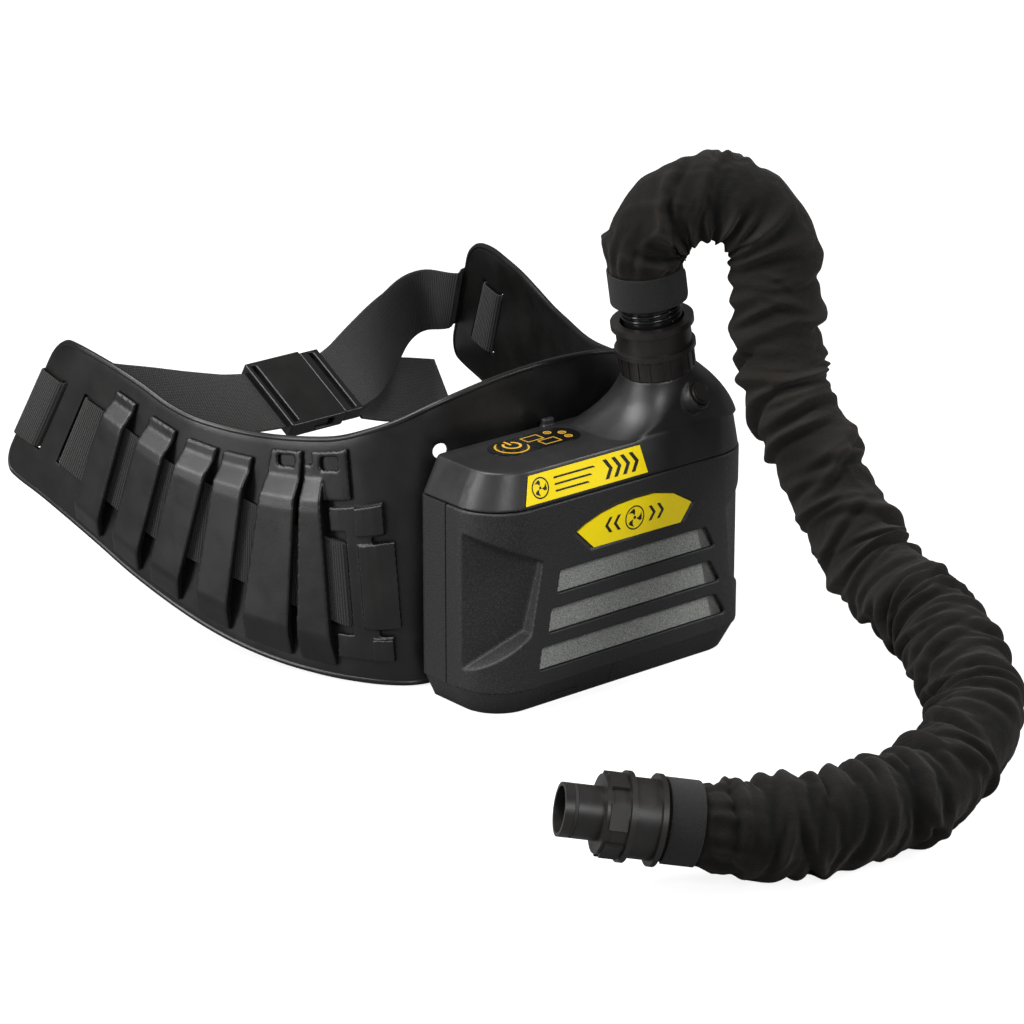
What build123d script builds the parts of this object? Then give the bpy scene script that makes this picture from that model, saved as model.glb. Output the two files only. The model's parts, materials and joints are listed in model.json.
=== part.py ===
from build123d import *
import math
import os

# Belt-worn air blower with its sleeved hose, helmet connector, hip plate and webbing (mm).
# +Z is up; the origin is the centre of the blower's base on its back plane. The blower's
# outer face (its front) points to -Y, the wearer and the belt loop lie on +Y. Left is -X and
# right is +X. The hose leaves the top on the +X side, arches over and swings round the front.
# Cutters reach well past the solids they cut.

os.makedirs("parts", exist_ok=True)

# ---------------------------------------------------------------- driving dimensions
BLOWER_W, BLOWER_D = 224.0, 68.0
HALF_W = BLOWER_W / 2
CORNER_R = 33.0                    # plan radius of the two front corners
BASE_H = 16.4                      # base strip, which includes the battery's foot
COVER_Z0, COVER_Z1 = 16.8, 135.0   # filter cover, bottom and top
SPLIT_Y = -25.0                    # plane where the filter cover meets the rear housing
SEAM_Z = 135.3                     # seam between lower body and upper housing
TOP_Z = 158.0                      # flat top that carries the control panel
WALL = 2.6                         # shell wall
BACK_WALL = 3.0                    # rear housing's wall on the wearer's side
FIT = 0.15                         # gap between pieces that touch
CLIP_HOLES = [(-40.0, 52.0), (40.0, 52.0), (-40.0, 112.0), (40.0, 112.0)]   # x, z

OUTLET = (53.0, -35.0, 191.0)      # centre of the hose outlet's rim
OUTLET_LEAN = 9.5                  # lean of the outlet axis towards -X, degrees
OUTLET_AXIS = (-math.sin(math.radians(OUTLET_LEAN)), 0.0, math.cos(math.radians(OUTLET_LEAN)))
OUTLET_R = 23.2
OUTLET_BORE_R = 20.0
PLUG_R = 19.95                     # hose plug, 0.05 running clearance

HOSE_R, HOSE_BORE_R = 18.0, 15.2   # inner hose
SLEEVE_R, SLEEVE_BORE_R = 29.5, 25.0

PLATE_T = 3.0                      # hip plate thickness
WEB_T, WEB_W = 1.7, 54.0           # webbing thickness and width


# ---------------------------------------------------------------- helpers
def save(shape, name):
    if isinstance(shape, (list, tuple)):
        shape = Compound(children=list(shape))
    shape.label = name
    export_step(shape, os.path.join("parts", name + ".step"))


def box(x0, x1, y0, y1, z0, z1):
    return Pos((x0 + x1) / 2, (y0 + y1) / 2, (z0 + z1) / 2) * Box(x1 - x0, y1 - y0, z1 - z0)


def plan(x0, x1, y0, y1, z, front_r, back_r):
    """Rectangle at height z with rounded front and back corners."""
    face = Pos((x0 + x1) / 2, (y0 + y1) / 2) * Rectangle(x1 - x0, y1 - y0)
    face = fillet([v for v in face.vertices() if v.Y < (y0 + y1) / 2], front_r)
    face = fillet([v for v in face.vertices() if v.Y > y1 - 0.01], back_r)
    return Pos(0, 0, z) * face


def polygon(points):
    return Face(Wire.make_polygon([Vector(p) for p in points], close=True))


def prism_xz(points, y0, y1):
    """Polygon in x, z extruded from y0 to y1."""
    return extrude(polygon([(x, y0, z) for x, z in points]), amount=y1 - y0, dir=(0, 1, 0))


def prism_xy(points, z0, z1):
    """Polygon in x, y extruded from z0 to z1."""
    return extrude(polygon([(x, y, z0) for x, y in points]), amount=z1 - z0, dir=(0, 0, 1))


def rod(origin, direction, radius, length, start=0.0):
    """Cylinder along direction, beginning at distance start from origin."""
    direction = Vector(direction).normalized()
    plane = Plane(origin=Vector(origin) + direction * start, z_dir=direction)
    return extrude(plane * Circle(radius), amount=length)


def tube(origin, direction, outer_r, inner_r, length, start=0.0):
    direction = Vector(direction).normalized()
    plane = Plane(origin=Vector(origin) + direction * start, z_dir=direction)
    return extrude(plane * (Circle(outer_r) - Circle(inner_r)), amount=length)


def rings(origin, direction, rows):
    """Fused coaxial tubes; rows are (outer radius, inner radius, length, start)."""
    body = tube(origin, direction, *rows[0])
    for row in rows[1:]:
        body += tube(origin, direction, *row)
    return body


def y_rod(x, z, radius, y0, y1):
    return rod((x, y0, z), (0, 1, 0), radius, y1 - y0)


def z_rod(centre, radius, z, length):
    """Upright cylinder from height z; centre is (x, y)."""
    return rod((centre[0], centre[1], z), (0, 0, 1), radius, length)


def drill_clip_holes(shape, radius, y0, y1):
    for x, z in CLIP_HOLES:
        shape -= y_rod(x, z, radius, y0, y1)
    return shape


def ruled_loft(sections):
    return loft([polygon(points) for points in sections], ruled=True)


def grow(points, margin):
    """Moves each point away from the points' mean by margin."""
    mean_x = sum(p[0] for p in points) / len(points)
    mean_z = sum(p[1] for p in points) / len(points)
    grown = []
    for x, z in points:
        reach = math.hypot(x - mean_x, z - mean_z)
        grown.append((x + (x - mean_x) / reach * margin, z + (z - mean_z) / reach * margin))
    return grown


# ---------------------------------------------------------------- rear housing
def base_strip():
    """Whole base strip, narrower at the underside."""
    bottom = plan(-HALF_W + 9, HALF_W - 9, -BLOWER_D + 9, 0, 0, CORNER_R - 7, 4)
    top = plan(-HALF_W + 1, HALF_W - 1, -BLOWER_D + 1, 0, BASE_H, CORNER_R - 1, 5)
    return loft([bottom, top])


def foot_region(gap=0.0):
    """Left part of the base strip, which is the battery's foot; its right end is slanted."""
    return prism_xz([(-130, -5), (-8 + gap, -5), (-13 + gap, 25), (-130, 25)], -80, 10)


def rear_housing():
    base = base_strip() - foot_region(gap=0.4)
    base -= box(2, 98, -50, -6, 3, 20)
    outer = extrude(plan(-HALF_W, HALF_W, -BLOWER_D, 0, BASE_H - 0.6, CORNER_R, 5),
                    amount=SEAM_Z - 0.3 - BASE_H + 0.6)
    outer &= box(-130, 130, SPLIT_Y + 0.2, 5, 0, 200)
    shell = outer - box(-HALF_W + WALL, HALF_W - WALL, SPLIT_Y - 5, -BACK_WALL,
                        BASE_H - 5, SEAM_Z + 5)
    # the shell starts a little higher above the battery's foot
    shell -= box(-130, -7.4, -80, 10, BASE_H - 3, BASE_H + 0.2)
    housing = shell + base
    # ledge below the filter seat plate
    housing += box(-6, HALF_W - WALL - 0.01, SPLIT_Y + 0.2, -BACK_WALL,
                   BASE_H - 0.01, BASE_H + 2.0)
    return drill_clip_holes(housing, 1.75, -3.5, 1)


# ---------------------------------------------------------------- filter cover
# Grip recesses at the two ends of the cover: side, then corners in x, z.
# The first corner marks the inner edge, where the recess floor begins to slope back.
GRIPS = [(-1, [(-69, 99), (-78, 53), (-114, 29), (-114, 121)]),
         (1, [(84, 99), (89, 53), (114, 33), (114, 118)])]
GRIP_Y = -63.0                     # recess floor at its inner edge
GRIP_SLOPE = 0.5332                # rise of the floor in +Y per mm towards the end
GRIP_BACKING = 4.6                 # depth of material left behind the floor
GRIP_OVERLAP = 14                  # reach of the backing past the inner edge

# Three windows with slanted ends, wider towards the bottom (x, z):
# bottom left, top left, top right, bottom right.
LOUVRES = [[(-57.5, 75.4), (-55.0, 89.9), (66.0, 89.9), (74.0, 75.4)],
           [(-64.5, 50.8), (-62.0, 66.2), (70.0, 66.2), (79.0, 50.8)],
           [(-72.0, 27.4), (-69.5, 42.1), (75.5, 42.1), (84.5, 27.4)]]

# Badge above the windows (x, z).
BADGE = [(-41.5, 111.9), (-35, 115.2), (-22, 119.4), (-8, 121.9), (6, 122.8), (22.4, 122.6),
         (38, 119.0), (53.2, 110.0), (44.2, 98.3), (-28.1, 98.8)]


def cover_block():
    block = extrude(plan(-HALF_W, HALF_W, -BLOWER_D, 0, COVER_Z0, CORNER_R, 5),
                    amount=COVER_Z1 - COVER_Z0)
    return block & box(-130, 130, -90, SPLIT_Y, 0, 200)


def grip_front(side, corners, overlap, overlap_y, setback=0.0):
    """Space in front of a grip's floor, with the floor moved back by setback."""
    edge_x = corners[0][0]
    inner_x = edge_x - side * overlap
    far_x = side * 118
    far_y = GRIP_Y + GRIP_SLOPE * abs(far_x - edge_x)
    return prism_xy([(inner_x, -95), (inner_x, overlap_y), (edge_x, GRIP_Y + setback),
                     (far_x, far_y + setback), (far_x, -95)], 0, 200)


def grip_pads():
    """Material that backs the two grip recesses."""
    pads = []
    for side, corners in GRIPS:
        region = prism_xz(grow(corners, 3.5), -95, SPLIT_Y) & cover_block()
        overlap_y = GRIP_Y - GRIP_SLOPE * GRIP_OVERLAP + GRIP_BACKING
        pads.append(region & grip_front(side, corners, GRIP_OVERLAP, overlap_y, GRIP_BACKING))
    return pads


def filter_cover():
    """Front wall, corners and short sides, open at the back."""
    cavity = extrude(plan(-HALF_W + WALL, HALF_W - WALL, -BLOWER_D + WALL, 0, COVER_Z0 + 2.2,
                          CORNER_R - WALL, 2), amount=COVER_Z1 - COVER_Z0 - 4.4)
    cover = cover_block() - cavity
    for pad in grip_pads():
        cover += pad
    for side, corners in GRIPS:
        cover -= prism_xz(corners, -95, SPLIT_Y) & grip_front(side, corners, 9, GRIP_Y)
    for window in LOUVRES:
        cover -= prism_xz(window, -72, -BLOWER_D + WALL + 0.5)
    cover -= prism_xz(grow(BADGE, 3.0), -72, -BLOWER_D + 1.0)
    return cover


def cover_badge():
    return prism_xz(BADGE, -BLOWER_D + 0.1, -BLOWER_D + 0.95)


def spark_screen():
    """Plate behind the windows with one slanted blade per window."""
    screen = box(-76, 88, -61.6, -60.2, 22, 94)
    for (left, low), _, (right, high), _ in LOUVRES:
        x0, x1 = left + 1.2, right - 3.0
        blade = polygon([(x0, -66.6, low + 0.6), (x0, -64.6, low + 0.2),
                         (x0, -61.0, high - 0.4), (x0, -62.6, high - 0.2)])
        screen += extrude(blade, amount=x1 - x0, dir=(1, 0, 0))
    for pad in grip_pads():
        screen -= pad
    (_, left_grip), (_, right_grip) = GRIPS
    screen -= prism_xz(grow(left_grip, 4.5), -95, SPLIT_Y) & box(-130, -60, -90, 0, 0, 200)
    screen -= prism_xz(grow(right_grip, 4.5), -95, SPLIT_Y) & box(70, 130, -90, 0, 0, 200)
    return screen


# ---------------------------------------------------------------- filters
FILTER_X = 87.5                    # half width of the particle filter
FILTER_Z0, FILTER_Z1 = 22.0, 130.0
PLEATS = 22
PLEAT_CREST_Y, PLEAT_VALLEY_Y = -45.5, -42.0
MEDIA_DEPTH = 15.0


def prefilter_pad():
    pad = box(-64, 78, -58.4, -51.0, 24, 122)
    for _, corners in GRIPS:
        pad -= prism_xz(grow(corners, 5), -95, 0)
    return pad


def filter_ring(y0, y1, inset, rim, cut_y0):
    """Rectangular ring: inset is its outer edge and rim its opening, from the filter's edge."""
    ring = box(-FILTER_X + inset, FILTER_X - inset, y0, y1, FILTER_Z0 + inset, FILTER_Z1 - inset)
    return ring - box(-FILTER_X + rim, FILTER_X - rim, cut_y0, -20,
                      FILTER_Z0 + rim, FILTER_Z1 - rim)


def filter_frame():
    return filter_ring(-46.8, -26.4, inset=0, rim=4, cut_y0=-60)


def filter_media():
    """Pleated block inside the frame."""
    x0, x1 = -FILTER_X + 4.2, FILTER_X - 4.2
    pitch = (x1 - x0) / PLEATS
    front = []
    for i in range(PLEATS):
        front += [(x0 + pitch * i, PLEAT_CREST_Y), (x0 + pitch * (i + 0.5), PLEAT_VALLEY_Y)]
    front.append((x1, PLEAT_CREST_Y))
    back = [(x, y + MEDIA_DEPTH) for x, y in reversed(front)]
    return prism_xy(front + back, FILTER_Z0 + 4.2, FILTER_Z1 - 4.2)


def filter_seal():
    return filter_ring(-26.2, -24.9, inset=1, rim=8, cut_y0=-30)


def filter_seat_plate():
    """Plate behind the filter, with the fan's round inlet."""
    plate = box(-100, HALF_W - WALL - 4, -24.7, -23.5, BASE_H + 2.4, 132)
    return plate - y_rod(FAN_X, FAN_Z, INLET_R, -30, -20)


# ---------------------------------------------------------------- fan and motor
FAN_X, FAN_Z = 22.0, 78.0          # fan axis, parallel to Y
FAN_R = 42.0                       # outside radius of the scroll
SCROLL_Y0, SCROLL_Y1 = -23.1, -3.4
SCROLL_RIM, SCROLL_SIDE = 2.0, 1.7  # scroll wall: round the rim, front and back
INLET_R = 25.0
IMPELLER_R = 35.0
BLADES = 11
SHAFT_R = 1.5


def fan_scroll():
    """Round casing with a duct that leads up."""
    outer = (y_rod(FAN_X, FAN_Z, FAN_R, SCROLL_Y0, SCROLL_Y1)
             + box(FAN_X + 12, FAN_X + FAN_R, SCROLL_Y0, SCROLL_Y1, FAN_Z, 133.0))
    y0, y1 = SCROLL_Y0 + SCROLL_SIDE, SCROLL_Y1 - SCROLL_SIDE
    inner = (y_rod(FAN_X, FAN_Z, FAN_R - SCROLL_RIM, y0, y1)
             + box(FAN_X + 12 + SCROLL_RIM, FAN_X + FAN_R - SCROLL_RIM, y0, y1, FAN_Z, 134.0))
    scroll = outer - inner - y_rod(FAN_X, FAN_Z, INLET_R, -30, -20)
    return drill_clip_holes(scroll, 3.2, -5.5, -3)


def motor_can():
    can = y_rod(FAN_X, FAN_Z, 12.5, -10.0, -5.2)
    return can - y_rod(FAN_X, FAN_Z, SHAFT_R + 0.06, -12, -7.0)


def motor_shaft():
    return y_rod(FAN_X, FAN_Z, SHAFT_R, -20.0, -7.2)


def impeller():
    """Disc, hub and straight radial blades."""
    wheel = y_rod(FAN_X, FAN_Z, IMPELLER_R, -11.8, -10.6)
    wheel += y_rod(FAN_X, FAN_Z, 6.0, -18.5, -11.8)
    for i in range(BLADES):
        blade = box(5.5, IMPELLER_R - 0.5, -19.8, -11.7, -0.6, 0.6)
        wheel += Pos(FAN_X, 0, FAN_Z) * Rot(0, i * 360 / BLADES, 0) * blade
    return wheel - y_rod(FAN_X, FAN_Z, SHAFT_R, -25, -5)


# ---------------------------------------------------------------- battery and board
BOARD_Z0, BOARD_Z1 = 148.0, 149.6
# Blocks on the board: x0, x1, y0, y1, top z.
BOARD_BLOCKS = [(-84, -70, -40, -28, 152.5), (-34, -22, -42, -32, 151.6),
                (-18, -8, -40, -30, 153.4)]


def battery_pack():
    """Foot in the base strip and a flat pack standing on it, with a recess for the latch."""
    pack = base_strip() & foot_region()
    pack += box(-97, -24, -22.8, -4.2, BASE_H - 1, 84)
    return pack - box(-60, -36, -62, -53.0, 5.5, 12.5)


def battery_latch():
    return box(-59.8, -36.2, -60.6, -57.4, 5.7, 12.3) + box(-55, -41, -57.5, -55.4, 7, 11)


def circuit_board():
    return box(-92, -2, -46, -8, BOARD_Z0, BOARD_Z1)


def board_components():
    return [box(x0, x1, y0, y1, BOARD_Z1 + FIT, top) for x0, x1, y0, y1, top in BOARD_BLOCKS]


def dome_switch():
    return z_rod(BUTTON, 3.0, BOARD_Z1 + FIT, 1.6)


# ---------------------------------------------------------------- upper housing
SEAM_INSET, TOP_INSET = 0.4, 6.5   # front face behind the blower's front, at seam and top

PANEL_X, PANEL_Y = -38.0, -22.0    # centre of the slot-shaped control panel
PANEL_LEN, PANEL_W = 68.0, 26.0
BUTTON, BUTTON_R = (-56.0, -22.0), 9.6
WINDOWS = [(-35.5, -17.0), (-29.5, -27.0)]                # centres of the level windows
LIGHTS = [(-21.0, -14.5), (-13.5, -20.0), (-14.5, -27.5)]  # centres of the status lights

RELEASE = (62.0, -61.5, 177.0)     # hose release button, on the front of the outlet
RELEASE_DIR = (0.24, -0.80, 0.55)
RELEASE_R = 7.2


def tilted_section(x0, x1, y0, y1, z, radius, tilt):
    """Rounded rectangle whose normal leans towards -X by tilt degrees."""
    angle = math.radians(tilt)
    plane = Plane(origin=((x0 + x1) / 2, (y0 + y1) / 2, z),
                  z_dir=(-math.sin(angle), 0, math.cos(angle)),
                  x_dir=(math.cos(angle), 0, math.sin(angle)))
    return plane * RectangleRounded(x1 - x0, y1 - y0, radius)


def panel_slot(z, trim, amount):
    slot = Pos(PANEL_X, PANEL_Y, 0) * SlotOverall(PANEL_LEN - trim, PANEL_W - trim)
    return extrude(Pos(0, 0, z) * slot, amount=amount)


def window_box(x, y, gap, z0, z1):
    return box(x - 5.5 - gap, x + 5.5 + gap, y - 3.0 - gap, y + 3.0 + gap, z0, z1)


def upper_housing():
    outer = loft([
        plan(-HALF_W + 0.4, HALF_W - 0.4, -BLOWER_D + SEAM_INSET, 0, SEAM_Z, CORNER_R, 5),
        plan(-HALF_W + 12, HALF_W - 3.5, -BLOWER_D + TOP_INSET, -0.6, TOP_Z, CORNER_R - 6, 5)])
    inner = loft([
        plan(-HALF_W + 3.2, HALF_W - 3.2, -BLOWER_D + 3.2, -2.6, SEAM_Z - 0.1, CORNER_R - 3, 3),
        plan(-HALF_W + 14.6, HALF_W - 6.5, -BLOWER_D + 9.5, -3.2, TOP_Z - 2.6,
             CORNER_R - 9, 3)])
    # hump that narrows from the flat top to the leaning outlet
    x, y, z = OUTLET
    hump_outer = loft([
        tilted_section(-4, 107, -61.0, -1.5, TOP_Z - 1.0, 18, 0),
        tilted_section(18, 99, -60.0, -6.0, 171.0, 22, 4),
        tilted_section(x - OUTLET_R, x + OUTLET_R, y - OUTLET_R, y + OUTLET_R, z,
                       OUTLET_R - 0.4, OUTLET_LEAN)])
    hump_inner = loft([
        tilted_section(6, 101, -57.0, -4.5, TOP_Z - 6.0, 16, 0),
        tilted_section(24, 93, -56.0, -10.0, 169.0, 19, 4),
        tilted_section(x - OUTLET_BORE_R + 2.2, x + OUTLET_BORE_R + 1.8,
                       y - OUTLET_BORE_R, y + OUTLET_BORE_R, z - 12,
                       OUTLET_BORE_R - 0.4, OUTLET_LEAN)])
    housing = outer + hump_outer
    housing -= inner
    housing -= hump_inner
    housing += rod(OUTLET, OUTLET_AXIS, OUTLET_R, 16.0, -16.0)
    housing -= rod(OUTLET, OUTLET_AXIS, OUTLET_BORE_R, 40.0, -20.0)
    # seat of the control panel and the hole below its button
    housing -= panel_slot(TOP_Z - 0.55, trim=0, amount=5)
    housing -= z_rod(BUTTON, BUTTON_R - 2.2, TOP_Z - 6, 10)
    # boss and bore of the hose release button
    housing += (rod(RELEASE, RELEASE_DIR, RELEASE_R + 2.6, 9.0, -6.5)
                - rod(OUTLET, OUTLET_AXIS, OUTLET_BORE_R, 60.0, -40.0))
    housing -= rod(RELEASE, RELEASE_DIR, RELEASE_R + 0.05, 14.0, -2.6)
    # small block at the back edge of the top
    housing += box(-15, -6, -5.0, -0.8, TOP_Z - 1.5, TOP_Z + 5)
    return housing


def hose_release_button():
    return (rod(RELEASE, RELEASE_DIR, RELEASE_R, 4.6, -0.5)
            + rod(RELEASE, RELEASE_DIR, RELEASE_R - 1.6, 0.7, 4.1))


def release_spring():
    """Plain tube that stands for the spring."""
    return tube(RELEASE, RELEASE_DIR, 3.4, 2.4, 1.9, -2.5)


def control_panel():
    panel = panel_slot(TOP_Z - 0.5, trim=0.4, amount=0.8)
    panel -= z_rod(BUTTON, BUTTON_R + 0.1, TOP_Z - 2, 4)
    for x, y in WINDOWS:
        panel -= window_box(x, y, 0.1, TOP_Z - 2, TOP_Z + 2)
    for centre in LIGHTS:
        panel -= z_rod(centre, 1.75, TOP_Z - 2, 4)
    return panel


def level_windows():
    return [window_box(x, y, 0, TOP_Z - 0.5, TOP_Z + 0.25) for x, y in WINDOWS]


def status_lights():
    return [z_rod(centre, 1.65, TOP_Z - 0.5, 1.1) for centre in LIGHTS]


def power_button():
    """Cap and the stem below it."""
    return (z_rod(BUTTON, BUTTON_R, TOP_Z + 0.35, 1.25)
            + z_rod(BUTTON, BUTTON_R - 2.4, TOP_Z - 5.2, 5.6))


def stripe_label():
    """Stripe on the slanted front of the upper housing."""
    rise, setback = TOP_Z - SEAM_Z, TOP_INSET - SEAM_INSET
    slope = math.hypot(setback, rise)
    plane = Plane(origin=(-32.0, -BLOWER_D + SEAM_INSET + setback * 0.5,
                          (SEAM_Z + TOP_Z) / 2 - 0.2),
                  x_dir=(1, 0, 0), z_dir=(0, -rise / slope, setback / slope))
    stripe = Polygon((-50.5, -9.0), (48.5, -9.0), (45.5, 9.0), (-45.0, 9.0), align=None)
    return extrude(plane.offset(0.2) * stripe, amount=0.4)


def outlet_seal():
    """Ring at the inner end of the outlet bore."""
    return tube(OUTLET, OUTLET_AXIS, 19.6, 17.6, 2.0, -19.5)


# ---------------------------------------------------------------- hose
ARCH_Z = 306.0                     # centre line at the top of the arch
SLEEVE_START = 59.5                # from the outlet's rim to the full-width sleeve
SLEEVE_CUT_R = 31.5                # spheres that cut back the sleeve and hose ends at a joint
HOSE_CUT_R = HOSE_R + 1.7
COLLAR_RIBS = 20

# Centre line after the arch's first corner: corner, radius it is rounded to.
CORNERS = [((103.0, -83.0, ARCH_Z), 38.0), ((98.5, -98.0, 192.0), 60.0),
           ((92.0, -186.0, 94.0), 60.0), ((84.0, -258.0, 77.0), 80.0),
           ((50.0, -332.0, 52.0), 60.0), ((-20.0, -358.0, 33.0), 80.0),
           ((-85.0, -352.0, 31.0), 60.0), ((-140.8, -330.1, 30.3), 60.0)]
# Joints between the four lengths of hose: straight run (0 leaves the outlet), share of it.
JOINTS = [(2, 0.42), (4, 0.52), (7, 0.45)]

RIM = Vector(OUTLET)
AXIS = Vector(OUTLET_AXIS).normalized()
HELMET_END = Vector(-165.9, -315.0, 36.0)   # end of the sleeve near the helmet
PATH = ([RIM + AXIS * SLEEVE_START, RIM + AXIS * ((ARCH_Z - RIM.Z) / AXIS.Z)]
        + [Vector(point) for point, _ in CORNERS] + [HELMET_END])
PATH_RADII = [0.0, 38.0] + [radius for _, radius in CORNERS] + [0.0]
HELMET_DIR = (PATH[-1] - PATH[-2]).normalized()


def hose_collar():
    """Ribbed collar on the outlet, with the plug that enters the bore."""
    collar = rings(OUTLET, OUTLET_AXIS, [
        (23.6, PLUG_R, 14.0, 0.35), (25.8, 20.4, 3.2, 14.0),
        (23.8, 20.4, 13.5, 17.0), (26.4, 20.4, 4.0, 30.5)])
    collar += tube(OUTLET, OUTLET_AXIS, PLUG_R, 17.4, 12.6, -12.0)
    collar -= rod(OUTLET, OUTLET_AXIS, HOSE_R + 0.2, 60, 4.0)
    across = Vector(AXIS.Z, 0, -AXIS.X)
    for i in range(COLLAR_RIBS):
        angle = math.radians(360 / COLLAR_RIBS * i)
        radial = across * math.cos(angle) + Vector(0, 1, 0) * math.sin(angle)
        plane = Plane(origin=RIM + AXIS * 1.0 + radial * 23.4, z_dir=OUTLET_AXIS, x_dir=radial)
        collar += extrude(plane * Rectangle(1.8, 1.4), amount=12)
    return collar


def corner_arc(i):
    """Start, middle and end of the arc that rounds corner i of the path."""
    point = PATH[i]
    before = (point - PATH[i - 1]).normalized()
    after = (PATH[i + 1] - point).normalized()
    half = math.acos(max(-1.0, min(1.0, before.dot(after)))) / 2
    trim = PATH_RADII[i] * math.tan(half)
    centre = point + (after - before).normalized() * (PATH_RADII[i] / math.cos(half))
    middle = centre + (point - centre).normalized() * PATH_RADII[i]
    return point - before * trim, middle, point + after * trim


def swept_tube(run0, start, run1, end, outer_r, inner_r):
    """Tube from start on run0 to end on run1, over the rounded corners between them."""
    edges, here = [], start
    for i in range(run0 + 1, run1 + 1):
        arc_start, arc_middle, arc_end = corner_arc(i)
        edges.append(Line(here, arc_start).edge())
        edges.append(ThreePointArc(arc_start, arc_middle, arc_end).edge())
        here = arc_end
    edges.append(Line(here, end).edge())
    wire = Wire(edges)
    plane = Plane(origin=start, z_dir=(PATH[run0 + 1] - PATH[run0]).normalized())
    return sweep(plane * Circle(outer_r), path=wire) - sweep(plane * Circle(inner_r), path=wire)


def hose_lengths(outer_r, inner_r, cut_r):
    """Four lengths; a sphere at each joint cuts back the end of the length before it."""
    stops = [(0, PATH[0])]
    for run, share in JOINTS:
        stops.append((run, PATH[run] + (PATH[run + 1] - PATH[run]) * share))
    stops.append((len(PATH) - 2, HELMET_END))
    lengths = []
    for (run0, start), (run1, end) in zip(stops, stops[1:]):
        length = swept_tube(run0, start, run1, end, outer_r, inner_r)
        if len(lengths) < len(JOINTS):
            length -= Pos(end.X, end.Y, end.Z) * Sphere(cut_r)
        lengths.append(length)
    return lengths


def sleeves():
    """Fabric sleeve, with a thin hem at each end under the cuff band."""
    lengths = hose_lengths(SLEEVE_R, SLEEVE_BORE_R, SLEEVE_CUT_R)
    lengths[0] = lengths[0] + rings(OUTLET, OUTLET_AXIS, [
        (21.4, 18.4, 17.0, 43.0), (SLEEVE_R, 18.4, 2.6, 57.6)])
    lengths[-1] = lengths[-1] + rings(HELMET_END, HELMET_DIR, [
        (21.4, 18.4, 22.8, -1.0), (27.0, 18.4, 2.6, -1.8)])
    return lengths


def inner_hoses():
    """Inner hose, carried on past both ends of the sleeve."""
    lengths = hose_lengths(HOSE_R, HOSE_BORE_R, HOSE_CUT_R)
    lengths[0] = lengths[0] + tube(OUTLET, OUTLET_AXIS, HOSE_R, HOSE_BORE_R,
                                   SLEEVE_START - 4.4, 4.4)
    lengths[-1] = lengths[-1] + tube(HELMET_END, HELMET_DIR, HOSE_R, HOSE_BORE_R, 30.0, -0.5)
    return lengths


def upper_cuff_band():
    return tube(OUTLET, OUTLET_AXIS, 24.2, 21.55, 13.6, 43.6)


def lower_cuff_band():
    return tube(HELMET_END, HELMET_DIR, 24.2, 21.55, 19.8, 1.2)


# ---------------------------------------------------------------- helmet connector
COLLAR_END = 57.8                  # from the sleeve's end to the end of the collar
SPIGOT_R, SPIGOT_LEN = 15.5, 22.2
SPIGOT_BORE_R = SPIGOT_R - 2.2


def helmet_collar():
    """Collar on the hose end, with two flanges and six flat grip panels."""
    collar = rings(HELMET_END, HELMET_DIR, [
        (23.0, HOSE_R + 0.06, 31.4, 22.4), (26.4, 20.0, 3.0, 23.4), (26.0, 20.0, 3.0, 41.4),
        (22.6, SPIGOT_R - 0.2, 4.0, COLLAR_END - 4.0)])
    across = Vector(-HELMET_DIR.Y, HELMET_DIR.X, 0).normalized()
    upward = HELMET_DIR.cross(across)
    for i in range(6):
        angle = math.radians(60 * i + 20)
        radial = across * math.cos(angle) + upward * math.sin(angle)
        plane = Plane(origin=HELMET_END + HELMET_DIR * 45.4 + radial * 22.6,
                      z_dir=HELMET_DIR, x_dir=radial)
        collar += extrude(plane * Rectangle(2.4, 15.0), amount=10.4)
    return collar - rod(HELMET_END, HELMET_DIR, HOSE_R + 0.06, 14.0, 15.0)


def helmet_spigot():
    """Spigot with a seal groove, and a flange inside the collar."""
    spigot = rings(HELMET_END, HELMET_DIR, [
        (SPIGOT_R, SPIGOT_BORE_R, SPIGOT_LEN, COLLAR_END),
        (SPIGOT_R - 0.3, SPIGOT_BORE_R, 8.2, COLLAR_END - 8.0)])
    spigot -= tube(HELMET_END, HELMET_DIR, SPIGOT_R + 1, SPIGOT_R - 1.0, 2.2, COLLAR_END + 14.6)
    spigot += tube(HELMET_END, HELMET_DIR, 17.6, SPIGOT_BORE_R, 3.6, COLLAR_END - 8.0)
    return spigot


def spigot_seal():
    return tube(HELMET_END, HELMET_DIR, SPIGOT_R - 0.04, SPIGOT_R - 0.95, 1.9,
                COLLAR_END + 14.75)


# ---------------------------------------------------------------- hip plate
# Points (x, y, z) on the plate's lower and upper edge, from the centre of the back
# (station 0) to the tip of the right wing (station 16); the left wing mirrors it.
LOWER_EDGE = [(0, 5, 8), (40, 5, 6), (80, 7, 4), (103, 14, 2.5), (118, 26, 2.5), (130, 42, 3),
              (141, 62, 4), (152, 90, 6), (161, 120, 10), (169, 150, 17), (176, 182, 27),
              (181, 215, 38), (185, 245, 50), (188.5, 275, 61), (191, 303, 70),
              (193, 325, 76), (194, 340, 82)]
UPPER_EDGE = [(0, 6, 195), (40, 8.5, 192), (80, 16, 183), (104, 31, 171), (117, 47, 163),
              (125, 65, 156), (132, 84, 152), (140, 107, 149), (146, 130, 147),
              (152, 150, 147), (159, 172, 149), (163.5, 194, 153.5), (167, 216, 161),
              (170.5, 236, 167), (173.5, 256, 171.5), (176, 276, 175), (175.5, 296, 175.5)]
LAST = 16
LOOP_Y = 150                       # y of a point inside the belt loop
SLOTS = (14.8, 13.8)               # stations of the two webbing slots on each wing
SLOT_HALF = 0.16                   # half width of a slot, in stations
SLOT_LOW, SLOT_HIGH = 0.19, 0.81   # its ends, as shares of the plate's height
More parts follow.
